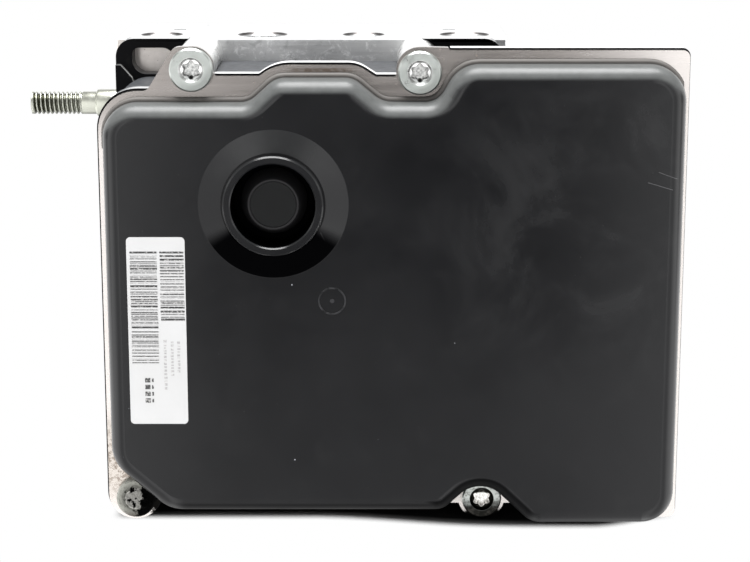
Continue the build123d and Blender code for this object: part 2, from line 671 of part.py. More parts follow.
for i, vx in enumerate(valve_x, start=1):
    with BuildPart() as placed_inlet:
        with Locations((vx, 0, inlet_z)):
            add(inlet_armature.part)
    keep(placed_inlet.part, f"inlet_armature_{i}")
    with BuildPart() as placed_outlet:
        with Locations((vx, 0, outlet_z)):
            add(outlet_armature.part)
    keep(placed_outlet.part, f"outlet_armature_{i}")

# return springs, drawn at the length they have with the valve energised
with BuildPart() as inlet_spring:
    with BuildLine() as inlet_coil:
        Helix(pitch=1.3, height=6.2, radius=1.75, center=(0, face - 10.8, 0), direction=Y_AXIS)
    with BuildSketch(Plane(origin=inlet_coil.line @ 0, z_dir=inlet_coil.line % 0)):
        Circle(0.2)
    sweep(is_frenet=True)
with BuildPart() as outlet_spring:
    with BuildLine() as outlet_coil:
        Helix(pitch=1.2, height=5.9, radius=1.1, center=(0, face - 14.75, 0), direction=Y_AXIS)
    with BuildSketch(Plane(origin=outlet_coil.line @ 0, z_dir=outlet_coil.line % 0)):
        Circle(0.2)
    sweep(is_frenet=True)
with BuildPart() as valve_springs:
    with Locations(*[(x, 0, inlet_z) for x in valve_x]):
        add(inlet_spring.part)
    with Locations(*[(x, 0, outlet_z) for x in valve_x]):
        add(outlet_spring.part)
keep(valve_springs.part, "valve_springs")

# coils: winding on a bobbin in a steel yoke, pushed over the valve's sleeve
with BuildPart() as one_winding:
    with BuildSketch(turning_plane((0, face, 0), Y_AXIS, X_AXIS)):
        with Locations((7.3, -13.25)):
            Rectangle(3.8, 18.1)
    revolve(axis=Axis((0, face, 0), Y_AXIS))
with BuildPart() as coil_windings:
    with Locations(*valve_spots):
        add(one_winding.part)
keep(coil_windings.part, "coil_windings")

with BuildPart() as one_bobbin:
    with BuildSketch(turning_plane((0, face, 0), Y_AXIS, X_AXIS)):
        with BuildLine():
            Polyline(
                (4.65, -23.3), (9.4, -23.3), (9.4, -22.3), (5.4, -22.3), (5.4, -4.2),
                (9.4, -4.2), (9.4, -3.2), (4.65, -3.2), close=True)
        make_face()
    revolve(axis=Axis((0, face, 0), Y_AXIS))
with BuildPart() as coil_bobbins:
    with Locations(*valve_spots):
        add(one_bobbin.part)
keep(coil_bobbins.part, "coil_bobbins")

with BuildPart() as one_yoke:
    with BuildSketch(turning_plane((0, face, 0), Y_AXIS, X_AXIS)):
        with BuildLine():
            Polyline(
                (4.65, -24.2), (10.2, -24.2), (10.2, -3.0), (9.5, -3.0), (9.5, -23.4),
                (4.65, -23.4), close=True)
        make_face()
    revolve(axis=Axis((0, face, 0), Y_AXIS))
with BuildPart() as coil_yokes:
    with Locations(*valve_spots):
        add(one_yoke.part)
keep(coil_yokes.part, "coil_yokes")

# ============================================================ PUMP MOTOR
mo = (0, 0, axis_z)
with BuildPart() as motor_can:
    # drawn steel cup with the rear bearing boss
    with BuildSketch(turning_plane(mo, Y_AXIS, X_AXIS)):
        with BuildLine():
            Polyline(
                (26.4, 20.0), (30.5, 20.0), (30.5, 22.0), (28.6, 22.0), (28.0, 22.6), (28.0, 71.2),
                (25.6, 73.6), (10.2, 73.6), (9.6, 74.2), (9.6, 79.0), (9.0, 79.6), (0, 79.6),
                (0, 78.0), (8.0, 78.0), (8.0, 72.0), (24.9, 72.0), (26.4, 70.5), close=True)
        make_face()
    revolve(axis=Axis(mo, Y_AXIS))
    with BuildSketch(Plane.XZ.offset(-20.0)):
        with Locations((0, axis_z)):
            with PolarLocations(31.0, 3, start_angle=90):
                Circle(5.6)
            Circle(27.5, mode=Mode.SUBTRACT)
    extrude(amount=-2.0)
    with BuildSketch(Plane.XZ.offset(-20.0)):
        with Locations((0, axis_z)):
            with PolarLocations(31.0, 3, start_angle=90):
                Circle(screw_r + 0.2)
    extrude(amount=-2.0, mode=Mode.SUBTRACT)
    # the three cap screws' heads pass beside the can in shallow flutes
    with BuildSketch(Plane.XZ.offset(-22.0)):
        with Locations((0, axis_z)):
            with PolarLocations(31.0, 3, start_angle=90):
                Circle(4.3)
    extrude(amount=-4.5, mode=Mode.SUBTRACT)
keep(motor_can.part, "motor_can")

with BuildPart() as brush_holder:
    with BuildSketch(turning_plane(mo, Y_AXIS, X_AXIS)):
        with BuildLine():
            Polyline(
                (5.0, 14.6), (14.8, 14.6), (14.8, 15.6), (13.2, 15.6), (13.2, 17.8), (14.8, 17.8),
                (14.8, 20.05), (26.2, 20.05), (26.2, 22.6), (9.6, 22.6), (9.6, 16.4), (5.0, 16.4), close=True)
        make_face()
    revolve(axis=Axis(mo, Y_AXIS))
    # two brush boxes, above and below the commutator, open on the inside
    with BuildSketch(Plane.XZ.offset(-22.0)):
        with Locations((0, axis_z + 18.4), (0, axis_z - 18.4)):
            Rectangle(8.4, 11.6)
    extrude(amount=-16.0)
    with BuildSketch(Plane.XZ.offset(-28.9)):
        with Locations((0, axis_z + 17.4), (0, axis_z - 17.4)):
            Rectangle(5.2, 11.7)
    extrude(amount=-6.2, mode=Mode.SUBTRACT)
    # reliefs for the screw flutes of the can
    with BuildSketch(Plane.XZ.offset(-20.0)):
        with Locations((0, axis_z)):
            with PolarLocations(31.0, 3, start_angle=90):
                Circle(5.4)
    extrude(amount=-8.0, mode=Mode.SUBTRACT)
keep(brush_holder.part, "brush_holder")

with BuildPart() as motor_seal:
    with BuildSketch(turning_plane(mo, Y_AXIS, X_AXIS)):
        with Locations((14.1, 16.7)):
            RectangleRounded(1.7, 2.1, 0.7)
    revolve(axis=Axis(mo, Y_AXIS))
keep(motor_seal.part, "motor_seal")

with BuildPart() as carbon_brushes:
    with BuildSketch(Plane.XZ.offset(-29.0)):
        with Locations((0, axis_z + 14.2), (0, axis_z - 14.2)):
            Rectangle(5.0, 7.6)
    extrude(amount=-6.0)
keep(carbon_brushes.part, "carbon_brushes")

with BuildPart() as one_brush_spring:
    with BuildLine() as brush_coil:
        Helix(pitch=1.25, height=4.0, radius=1.7, center=(0, 32.0, 18.55), direction=Z_AXIS)
    with BuildSketch(Plane(origin=brush_coil.line @ 0, z_dir=brush_coil.line % 0)):
        Circle(0.3)
    sweep(is_frenet=True)
with BuildPart() as brush_springs:
    with Locations((0, 0, axis_z)):
        add(one_brush_spring.part)
    with Locations(Location((0, 0, axis_z), (0, 180, 0))):
        add(one_brush_spring.part)
keep(brush_springs.part, "brush_springs")

with BuildPart() as motor_magnets:
    with BuildSketch(Plane.XZ.offset(-41.0)):
        with Locations((0, axis_z)):
            Circle(26.3)
            Circle(20.2, mode=Mode.SUBTRACT)
            Rectangle(26.0, 60.0, mode=Mode.SUBTRACT)
    extrude(amount=-26.0)
keep(motor_magnets.part, "motor_magnets")

# one-piece sealed ball bearings, front in the brush holder and rear in the can
with BuildPart() as shaft_bearings:
    with BuildSketch(turning_plane(mo, Y_AXIS, X_AXIS)):
        with BuildLine():
            Polyline(
                (4.03, 16.5), (5.6, 16.5), (5.6, 16.9), (8.0, 16.9), (8.0, 16.5), (9.55, 16.5),
                (9.55, 22.5), (8.0, 22.5), (8.0, 22.1), (5.6, 22.1), (5.6, 22.5), (4.03, 22.5), close=True)
        make_face()
    revolve(axis=Axis(mo, Y_AXIS))
    with BuildSketch(turning_plane(mo, Y_AXIS, X_AXIS)):
        with BuildLine():
            Polyline(
                (3.03, 72.5), (4.3, 72.5), (4.3, 72.9), (6.6, 72.9), (6.6, 72.5), (7.95, 72.5),
                (7.95, 77.5), (6.6, 77.5), (6.6, 77.1), (4.3, 77.1), (4.3, 77.5), (3.03, 77.5), close=True)
        make_face()
    revolve(axis=Axis(mo, Y_AXIS))
keep(shaft_bearings.part, "shaft_bearings")

# shaft with its eccentric journal
with BuildPart() as motor_shaft:
    with BuildSketch(turning_plane(mo, Y_AXIS, X_AXIS)):
        with BuildLine():
            Polyline((0, 1.0), (3.4, 1.0), (4.0, 1.6), (4.0, 68.0), (3.0, 69.0), (3.0, 77.2), (2.6, 77.6), (0, 77.6), close=True)
        make_face()
    revolve(axis=Axis(mo, Y_AXIS))
    with BuildSketch(Plane.XZ.offset(-3.0)):
        with Locations((0, axis_z + ecc_throw)):
            Circle(6.0)
    extrude(amount=-10.0)
keep(motor_shaft.part, "motor_shaft")

with BuildPart() as commutator:
    with BuildSketch(Plane.XZ.offset(-27.0)):
        with Locations((0, axis_z)):
            Circle(10.0)
            Circle(4.0, mode=Mode.SUBTRACT)
            with PolarLocations(9.4, 12):
                Rectangle(1.6, 0.5, mode=Mode.SUBTRACT)
    extrude(amount=-11.5)
keep(commutator.part, "commutator")

with BuildPart() as armature_core:
    with BuildSketch(Plane.XZ.offset(-43.0)):
        with Locations((0, axis_z)):
            Circle(19.2)
            Circle(4.0, mode=Mode.SUBTRACT)
            with PolarLocations(13.2, 12):
                Rectangle(7.6, 3.4, mode=Mode.SUBTRACT)
            with PolarLocations(18.0, 12):
                Rectangle(3.0, 1.2, mode=Mode.SUBTRACT)
    extrude(amount=-21.0)
keep(armature_core.part, "armature_core")

with BuildPart() as armature_winding:
    with BuildSketch(Plane.XZ.offset(-43.0)):
        with Locations((0, axis_z)):
            with PolarLocations(13.2, 12):
                Rectangle(7.4, 3.2)
    extrude(amount=-21.0)
    with BuildSketch(Plane.XZ.offset(-39.6)):
        with Locations((0, axis_z)):
            Circle(17.4)
            Circle(8.4, mode=Mode.SUBTRACT)
    extrude(amount=-3.4)
    with BuildSketch(Plane.XZ.offset(-64.0)):
        with Locations((0, axis_z)):
            Circle(17.4)
            Circle(8.4, mode=Mode.SUBTRACT)
    extrude(amount=-3.4)
keep(armature_winding.part, "armature_winding")

# outer race that rolls on the eccentric and drives both pistons
with BuildPart() as eccentric_ring:
    with BuildSketch(Plane.XZ.offset(-3.2)):
        with Locations((0, axis_z + ecc_throw)):
            Circle(ring_r)
            Circle(6.05, mode=Mode.SUBTRACT)
    extrude(amount=-9.6)
keep(eccentric_ring.part, "eccentric_ring")

# cap screws of the motor
with BuildPart() as motor_screws:
    with BuildSketch(Plane.XZ.offset(-7.5)):
        with Locations((0, axis_z)):
            with PolarLocations(31.0, 3, start_angle=90):
                Circle(screw_r)
    extrude(amount=-14.5)
    with BuildSketch(Plane.XZ.offset(-22.0)):
        with Locations((0, axis_z)):
            with PolarLocations(31.0, 3, start_angle=90):
                Circle(4.2)
    extrude(amount=-4.0)
    with BuildSketch(Plane.XZ.offset(-26.0)):
        with Locations((0, axis_z)):
            with PolarLocations(31.0, 3, start_angle=90):
                RegularPolygon(2.2, 6)
    extrude(amount=2.4, mode=Mode.SUBTRACT)
keep(motor_screws.part, "motor_screws")

# ============================================================ PUMP ELEMENTS
po = (0, pump_y, axis_z)
for side, side_name in ((-1, "left"), (1, "right")):
    with BuildPart() as pump_piston:
        with BuildSketch(turning_plane(po, (side, 0, 0), Z_AXIS)):
            with BuildLine():
                Polyline(
                    (0, piston_in), (piston_r - 0.5, piston_in), (piston_r, piston_in + 0.5),
                    (piston_r, 26.6), (piston_r - 0.4, 27.0), (0, 27.0), close=True)
            make_face()
        revolve(axis=Axis(po, X_AXIS))
    keep(pump_piston.part, f"pump_piston_{side_name}")

with BuildPart() as pump_cylinders:
    for side in (-1, 1):
        with BuildSketch(turning_plane(po, (side, 0, 0), Z_AXIS)):
            with BuildLine():
                Polyline(
                    (piston_r + 0.05, 15.3), (6.4, 15.3), (6.4, 33.95), (1.2, 33.95), (1.2, 32.0),
                    (piston_r + 0.05, 32.0), close=True)
            make_face()
        revolve(axis=Axis(po, X_AXIS))
keep(pump_cylinders.part, "pump_cylinders")

with BuildPart() as one_pump_spring:
    with BuildLine() as pump_coil:
        Helix(pitch=1.35, height=4.2, radius=2.2, center=(27.4, 0, 0), direction=X_AXIS)
    with BuildSketch(Plane(origin=pump_coil.line @ 0, z_dir=pump_coil.line % 0)):
        Circle(0.32)
    sweep(is_frenet=True)
with BuildPart() as pump_springs:
    with Locations((0, pump_y, axis_z)):
        add(one_pump_spring.part)
    with Locations(Location((0, pump_y, axis_z), (0, 180, 0))):
        add(one_pump_spring.part)
keep(pump_springs.part, "pump_springs")

with BuildPart() as delivery_balls:
    with Locations((-35.58, pump_y, axis_z), (35.58, pump_y, axis_z)):
        Sphere(2.0)
keep(delivery_balls.part, "delivery_balls")

with BuildPart() as pump_plugs:
    for side in (-1, 1):
        with BuildSketch(turning_plane(po, (side, 0, 0), Z_AXIS)):
            with BuildLine():
                Polyline(
                    (3.0, 34.0), (7.95, 34.0), (7.95, 49.2), (7.4, 49.7), (4.2, 49.7), (4.2, 46.5),
                    (0, 46.5), (0, 42.0), (3.0, 42.0), close=True)
            make_face()
        revolve(axis=Axis(po, X_AXIS))
keep(pump_plugs.part, "pump_plugs")

# ============================================================ ACCUMULATORS
for side, side_name in ((-1, "left"), (1, "right")):
    ax = side * acc_x
    with BuildPart() as acc_piston:
        with BuildSketch(turning_plane((ax, 0, 0), Z_AXIS, X_AXIS)):
            with BuildLine():
                Polyline(
                    (0, 21.8), (8.4, 21.8), (8.95, 21.2), (8.95, 13.5), (6.6, 13.5), (6.6, 19.5),
                    (0, 19.5), close=True)
            make_face()
        revolve(axis=Axis((ax, 0, 0), Z_AXIS))
    keep(acc_piston.part, f"accumulator_piston_{side_name}")
    with BuildPart() as acc_spring:
        with BuildLine() as acc_coil:
            Helix(pitch=3.0, height=14.4, radius=5.2, center=(ax, 0, 4.15), direction=Z_AXIS)
        with BuildSketch(Plane(origin=acc_coil.line @ 0, z_dir=acc_coil.line % 0)):
            Circle(0.7)
        sweep(is_frenet=True)
    keep(acc_spring.part, f"accumulator_spring_{side_name}")

with BuildPart() as accumulator_caps:
    for ax in (-acc_x, acc_x):
        with BuildSketch(turning_plane((ax, 0, 0), Z_AXIS, X_AXIS)):
            with BuildLine():
                Polyline(
                    (0, 0.9), (5.5, 0.9), (5.5, 0.2), (8.6, 0.2), (8.98, 0.6), (8.98, 3.2), (4.2, 3.2),
                    (3.9, 5.0), (0, 5.0), close=True)
            make_face()
        revolve(axis=Axis((ax, 0, 0), Z_AXIS))
keep(accumulator_caps.part, "accumulator_caps")

# ============================================================ MOUNTING STUD
with BuildPart() as mounting_stud:
    with BuildSketch(turning_plane((0, 0, stud_z), X_AXIS, (0, 0, 1))):
        with BuildLine():
            Polyline(
                (0, stud_tip), (2.3, stud_tip), (stud_r, stud_tip + 0.8), (stud_r, -57.8),
                (3.6, -57.8), (3.6, -50.0), (stud_r, -50.0), (stud_r, -40.4), (2.4, -39.8),
                (0, -39.8), close=True)
        make_face()
    revolve(axis=Axis((0, 0, stud_z), X_AXIS))
keep(mounting_stud.part, "mounting_stud")

for row in written:
    print(*row)
print(len(written), "nodes")
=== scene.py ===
import json
import math
import random

import bmesh
import bpy
from mathutils import Matrix, Vector, noise


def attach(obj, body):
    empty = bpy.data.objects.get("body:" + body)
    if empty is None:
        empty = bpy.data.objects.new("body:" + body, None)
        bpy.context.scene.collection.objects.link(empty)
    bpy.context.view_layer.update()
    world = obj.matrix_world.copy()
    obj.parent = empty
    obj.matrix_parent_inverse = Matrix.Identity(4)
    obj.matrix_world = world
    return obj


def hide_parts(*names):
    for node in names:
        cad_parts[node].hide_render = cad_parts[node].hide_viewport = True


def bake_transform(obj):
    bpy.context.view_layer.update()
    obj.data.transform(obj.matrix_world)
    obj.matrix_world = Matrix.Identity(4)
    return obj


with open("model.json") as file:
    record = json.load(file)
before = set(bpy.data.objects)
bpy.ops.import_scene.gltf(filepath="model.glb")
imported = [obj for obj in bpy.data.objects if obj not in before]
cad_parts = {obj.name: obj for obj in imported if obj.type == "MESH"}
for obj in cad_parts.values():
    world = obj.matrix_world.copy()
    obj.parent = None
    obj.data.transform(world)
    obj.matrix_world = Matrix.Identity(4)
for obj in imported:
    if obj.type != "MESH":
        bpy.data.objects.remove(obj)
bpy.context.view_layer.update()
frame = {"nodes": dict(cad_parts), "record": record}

NODES = frame["nodes"]
MM = 0.001
scene = bpy.context.scene

# brightness of the studio, seen from the object
FRONT_DARK, FRONT_LOW, SIDE_LEVEL, TOP_LEVEL, BACK_LEVEL = 0.20, 1.0, 3.2, 0.55, 2.2
SUN_LEVEL, SUN_DIRECTION = 10.0, (0.03, 0.0, -1.0)


# ------------------------------------------------------------------ helpers
def mm(*v):
    return Vector(v) * MM


class Mat:
    """A node material built in code. Coordinates are the piece's own, in millimetres."""

    def __init__(self, name, **sockets):
        self.m = bpy.data.materials.new(name)
        self.m.use_nodes = True
        self.t = self.m.node_tree
        self.t.nodes.clear()
        out = self.t.nodes.new("ShaderNodeOutputMaterial")
        self.b = self.t.nodes.new("ShaderNodeBsdfPrincipled")
        self.t.links.new(self.b.outputs[0], out.inputs[0])
        for k, v in sockets.items():
            self.set(k, v)
        self._co = None
        self._up = None
        self._bump = None

    def set(self, name, value):
        s = self.b.inputs[name.replace("_", " ")]
        if isinstance(value, bpy.types.NodeSocket):
            self.t.links.new(value, s)
        elif s.type == "RGBA":
            s.default_value = (*value, 1.0)
        else:
            s.default_value = value
        return self

    def node(self, kind, **kw):
        n = self.t.nodes.new(kind)
        for k, v in kw.items():
            setattr(n, k, v)
        return n

    def link(self, a, b):
        if isinstance(a, (int, float)):
            b.default_value = a
        elif isinstance(a, tuple):
            b.default_value = (*a, 1.0) if len(b.default_value) == 4 and len(a) == 3 else a
        else:
            self.t.links.new(a, b)

    @property
    def co(self):
        """Object coordinates in millimetres."""
        if self._co is None:
            tc = self.node("ShaderNodeTexCoord")
            s = self.node("ShaderNodeVectorMath", operation="SCALE")
            s.inputs["Scale"].default_value = 1000.0
            self.t.links.new(tc.outputs["Object"], s.inputs[0])
            self._co = s.outputs[0]
        return self._co

    def node_vec(self, x, z):
        n = self.node("ShaderNodeCombineXYZ")
        self.link(x, n.inputs[0])
        self.link(z, n.inputs[2])
        return n.outputs[0]

    def up(self):
        """How far the surface faces upwards: 1 level, 0 upright, -1 underneath."""
        if self._up is None:
            s = self.node("ShaderNodeSeparateXYZ")
            self.t.links.new(self.node("ShaderNodeTexCoord").outputs["Normal"], s.inputs[0])
            self._up = s.outputs[2]
        return self._up

    def shift(self, scale=(1, 1, 1), loc=(0, 0, 0), rot=(0, 0, 0)):
        m = self.node("ShaderNodeMapping")
        m.inputs["Scale"].default_value = scale
        m.inputs["Location"].default_value = loc
        m.inputs["Rotation"].default_value = rot
        self.t.links.new(self.co, m.inputs[0])
        return m.outputs[0]

    def xyz(self):
        s = self.node("ShaderNodeSeparateXYZ")
        self.t.links.new(self.co, s.inputs[0])
        return s.outputs

    def noise(self, per_mm, detail=4.0, rough=0.55, co=None, distortion=0.0, seed=0.0):
        n = self.node("ShaderNodeTexNoise", noise_dimensions="4D" if seed else "3D")
        n.inputs["Scale"].default_value = per_mm
        n.inputs["Detail"].default_value = detail
        n.inputs["Roughness"].default_value = rough
        n.inputs["Distortion"].default_value = distortion
        if seed:
            n.inputs["W"].default_value = seed
        self.t.links.new(co or self.co, n.inputs["Vector"])
        return n.outputs["Fac"]

    def voronoi(self, per_mm, feature="F1", co=None, randomness=1.0, out="Distance"):
        n = self.node("ShaderNodeTexVoronoi", feature=feature)
        n.inputs["Scale"].default_value = per_mm
        n.inputs["Randomness"].default_value = randomness
        self.t.links.new(co or self.co, n.inputs["Vector"])
        return n.outputs[out]

    def ramp(self, fac, *stops, mode="LINEAR"):
        """stops: (position, value or colour)"""
        r = self.node("ShaderNodeValToRGB")
        e = r.color_ramp.elements
        r.color_ramp.interpolation = mode
        while len(e) < len(stops):
            e.new(0.5)
        for el, (p, v) in zip(e, stops):
            el.position = p
        for el, (p, v) in zip(e, stops):
            el.color = (v, v, v, 1) if isinstance(v, (int, float)) else (*v, 1)
        self.link(fac, r.inputs[0])
        return r.outputs[0]

    def remap(self, fac, a, b, c, d, clamp=True):
        n = self.node("ShaderNodeMapRange", clamp=clamp)
        self.link(fac, n.inputs["Value"])
        for k, v in (("From Min", a), ("From Max", b), ("To Min", c), ("To Max", d)):
            n.inputs[k].default_value = v
        return n.outputs[0]

    def smooth(self, fac, a, b, c=0.0, d=1.0):
        n = self.node("ShaderNodeMapRange", interpolation_type="SMOOTHSTEP")
        self.link(fac, n.inputs["Value"])
        for k, v in (("From Min", a), ("From Max", b), ("To Min", c), ("To Max", d)):
            n.inputs[k].default_value = v
        return n.outputs[0]

    def math(self, op, a, b=0.0, c=0.0, clamp=False):
        n = self.node("ShaderNodeMath", operation=op, use_clamp=clamp)
        for s, v in zip(n.inputs, (a, b, c)):
            self.link(v, s)
        return n.outputs[0]

    def mul(self, *v):
        r = v[0]
        for x in v[1:]:
            r = self.math("MULTIPLY", r, x)
        return r

    def add(self, *v):
        r = v[0]
        for x in v[1:]:
            r = self.math("ADD", r, x)
        return r

    def mix(self, fac, a, b, blend="MIX"):
        n = self.node("ShaderNodeMix", data_type="RGBA", blend_type=blend)
        self.link(fac, n.inputs[0])
        self.link(a, n.inputs[6])
        self.link(b, n.inputs[7])
        return n.outputs[2]

    def vec(self, op, a, b):
        n = self.node("ShaderNodeVectorMath", operation=op)
        for s, v in zip(n.inputs, (a, b)):
            self.link(v, s)
        return n.outputs["Value"] if op in ("LENGTH", "DISTANCE", "DOT_PRODUCT") else n.outputs[0]

    def bump(self, height, depth_mm, strength=1.0):
        n = self.node("ShaderNodeBump")
        n.inputs["Strength"].default_value = strength
        n.inputs["Distance"].default_value = depth_mm * MM
        self.link(height, n.inputs["Height"])
        if self._bump is not None:
            self.t.links.new(self._bump, n.inputs["Normal"])
        self._bump = n.outputs[0]
        self.t.links.new(self._bump, self.b.inputs["Normal"])
        return self

    def segment(self, p, q, width, soft=0.15):
        """1 inside a thin line from p to q on the XZ plane, 0 outside."""
        x, _, z = self.xyz()
        dx, dz = q[0] - p[0], q[1] - p[1]
        length = math.hypot(dx, dz)
        ux, uz = dx / length, dz / length
        rx = self.math("SUBTRACT", x, p[0])
        rz = self.math("SUBTRACT", z, p[1])
        along = self.add(self.mul(rx, ux), self.mul(rz, uz))
        across = self.math("ABSOLUTE", self.add(self.mul(rx, -uz), self.mul(rz, ux)))
        inside = self.mul(self.smooth(along, -soft, soft), self.smooth(along, length + soft, length - soft))
        return self.mul(inside, self.smooth(across, width, 0.0))


def give(name, mat):
    o = NODES[name]
    o.data.materials.clear()
    o.data.materials.append(mat.m)


def mesh_piece(name, bm, mat, body="module", smooth_angle=None):
    me = bpy.data.meshes.new(name)
    bm.to_mesh(me)
    bm.free()
    if smooth_angle is not None:
        for p in me.polygons:
            p.use_smooth = True
        me.set_sharp_from_angle(angle=math.radians(smooth_angle))
    o = bpy.data.objects.new(name, me)
    scene.collection.objects.link(o)
    me.materials.append(mat.m)
    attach(o, body)
    return o


# ---------------------------------------------------------------- materials
def dust(m, colour, per_mm=0.42, size=0.05, sparse=0.5, tone=(0.55, 0.55, 0.55), amount=1.0):
    """Scattered pale specks over a colour."""
    d = m.voronoi(per_mm)
    pick = m.noise(per_mm * 0.9, 1.0, seed=3.7)
    speck = m.mul(m.smooth(d, size, size * 0.35), m.smooth(pick, sparse, sparse + 0.06), amount)
    return m.mix(speck, colour, tone)


def cover_plastic():
    m = Mat("cover_plastic", IOR=1.34)
    x, y, z = m.xyz()
    cloud = m.noise(0.018, 4, 0.6, distortion=0.4)
    fine = m.noise(0.16, 5, 0.6)
    base = m.mix(cloud, (0.0028, 0.0029, 0.0034), (0.0046, 0.0047, 0.0056))
    # painted reflection: a brighter bloom over the upper right, fainter below
    smear = m.noise(0.045, 6, 0.62, distortion=0.9, seed=2.0)
    reflection_zone = m.smooth(m.vec("DISTANCE", m.co, (70.0, -61.0, 78.0)), 52.0, 8.0)
    base = m.mix(m.mul(reflection_zone, m.smooth(smear, 0.42, 0.66), 0.9), base, (0.014, 0.0142, 0.0150))
    base = m.mix(m.mul(m.smooth(fine, 0.55, 0.75), 0.35), base, (0.009, 0.009, 0.0096))
    # dust settles where the surface turns upwards; its pale colour also paints the highlight band along the upper
    # fillets
    r = m.vec("LENGTH", m.vec("MULTIPLY", m.vec("SUBTRACT", m.co, (-8.2, 0.0, 82.7)), (1.0, 0.0, 1.0)), (0, 0, 0))
    ring = m.mul(m.smooth(r, 12.9, 12.5), m.smooth(y, -60.5, -61.0))
    upward_dust_sheen = m.mul(m.smooth(m.up(), 0.10, 0.42), m.math("SUBTRACT", 1.0, m.mul(ring, 0.9)))
    base = m.mix(m.mul(upward_dust_sheen, m.remap(m.noise(0.5, 5, 0.65, seed=1.4), 0.3, 0.7, 0.75, 1.0)), base, (0.074, 0.077, 0.076))
    # painted reflection: the thin flange carries the pale beige of the plate it mirrors
    flange_sheen = m.mul(m.smooth(y, -53.35, -53.05), m.remap(m.noise(0.4, 5, 0.7, seed=8.8), 0.3, 0.7, 0.75, 1.0))
    base = m.mix(flange_sheen, base, (0.098, 0.091, 0.085))
    # painted shade: dark creases at the flange's foot and where the wall rises from it
    crease_shade = m.math("MAXIMUM", m.mul(m.smooth(y, -54.3, -53.9), m.smooth(y, -53.0, -53.1)), m.smooth(y, -52.45, -52.2))
    base = m.mix(m.mul(crease_shade, 0.9), base, (0.004, 0.004, 0.004))
    # the moulded date mark is rubbed a little lighter
    mark = m.vec("LENGTH", m.vec("MULTIPLY", m.vec("SUBTRACT", m.co, (5.8, 0.0, 58.9)), (1.0, 0.0, 1.0)), (0, 0, 0))
    rub = m.mul(m.smooth(y, -61.04, -61.10), m.smooth(mark, 3.8, 3.6), m.smooth(m.noise(0.7, 4, 0.7, seed=2.6), 0.40, 0.58))
    base = m.mix(rub, base, (0.026, 0.026, 0.028))
    base = dust(m, base, per_mm=0.20, size=0.045, sparse=0.60, tone=(0.30, 0.31, 0.33))
    base = dust(m, base, per_mm=0.55, size=0.06, sparse=0.60, tone=(0.07, 0.07, 0.07), amount=0.8)
    for p, q, w in (((3.1, 76.0), (4.9, 72.3), 0.16), ((81.5, 88.0), (87.5, 86.2), 0.10), ((84.0, 90.5), (88.6, 88.8), 0.08)):
        base = m.mix(m.mul(m.segment(p, q, w), 0.55), base, (0.16, 0.16, 0.165))
    # painted shade: the inside of the vent well is made black and matt
    well = m.mul(m.smooth(r, 10.6, 10.2), m.smooth(y, -62.9, -62.5))
    # painted shade: a black matt crescent under the ring, where its shadow falls
    low = m.math("DIVIDE", m.math("SUBTRACT", z, 82.7), r)
    crescent = m.mul(m.smooth(low, -0.36, -0.60), m.smooth(r, 18.2, 17.9), m.smooth(r, 11.9, 12.1), m.smooth(y, -62.6, -62.1),
                     m.smooth(y, -58.0, -60.0))
    # painted shade: black on the downward faces round the lower right notch
    notch = m.mul(m.smooth(m.vec("DISTANCE", m.co, (43.0, -57.5, 9.0)), 17.0, 12.0), m.smooth(m.up(), -0.05, -0.25), 0.9)
    # painted shade: black on the downward faces along the lower edge
    painted_shade_under = m.mul(m.smooth(m.up(), -0.10, -0.5), m.smooth(z, 9.0, 6.5), m.smooth(x, -36.0, -30.0), m.smooth(x, 60.0, 52.0), 0.8)
    # all these painted shades are made black and non-reflecting through the metallic switch
    black_shade_mask = m.math("MAXIMUM", m.math("MAXIMUM", well, crescent), m.math("MAXIMUM", notch, painted_shade_under))
    base = m.mix(black_shade_mask, base, (0.0008, 0.0008, 0.0010))
    m.set("Base Color", base)
    m.set("Metallic", black_shade_mask)
    rough = m.remap(m.add(m.mul(cloud, 0.5), m.mul(smear, 0.5)), 0.3, 0.7, 0.12, 0.24)
    m.set("Roughness", m.add(rough, m.mul(black_shade_mask, 0.4), m.mul(upward_dust_sheen, 0.20), m.mul(flange_sheen, 0.3)))
    m.bump(m.noise(2.6, 3, 0.6), 0.008, 0.4)
    m.bump(m.noise(0.035, 2, 0.5), 0.10, 0.35)
    return m


def vent_plastic():
    m = Mat("vent_plastic", IOR=1.25)
    base = m.mix(m.noise(0.12, 4), (0.008, 0.0078, 0.0084), (0.014, 0.0135, 0.0145))
    m.set("Base Color", dust(m, base, per_mm=0.6, size=0.05, sparse=0.6, tone=(0.04, 0.04, 0.04)))
    m.set("Roughness", m.remap(m.noise(0.3, 4), 0.3, 0.7, 0.42, 0.6))
    m.bump(m.noise(3.0, 3), 0.015, 0.4)
    return m


def membrane():
    m = Mat("membrane", IOR=1.22)
    m.set("Base Color", m.mix(m.noise(0.35, 5), (0.0025, 0.0027, 0.0028), (0.0060, 0.0064, 0.0066)))
    m.set("Roughness", m.remap(m.noise(1.2, 4), 0.3, 0.7, 0.35, 0.5))
    m.bump(m.noise(3.2, 4, 0.7), 0.02, 0.5)
    return m


def label_stock():
    m = Mat("label_stock", IOR=1.45)
    base = m.mix(m.noise(0.08, 5, 0.6), (0.42, 0.42, 0.418), (0.50, 0.50, 0.505))
    base = m.mix(m.mul(m.smooth(m.noise(0.6, 5, 0.7), 0.62, 0.75), 0.35), base, (0.60, 0.58, 0.55))
    m.set("Base Color", base)
    m.set("Roughness", m.remap(m.noise(0.2, 4), 0.3, 0.7, 0.38, 0.5))
    m.bump(m.noise(0.08, 2), 0.08, 0.4)
    m.bump(m.noise(5.0, 3), 0.006, 0.5)
    return m


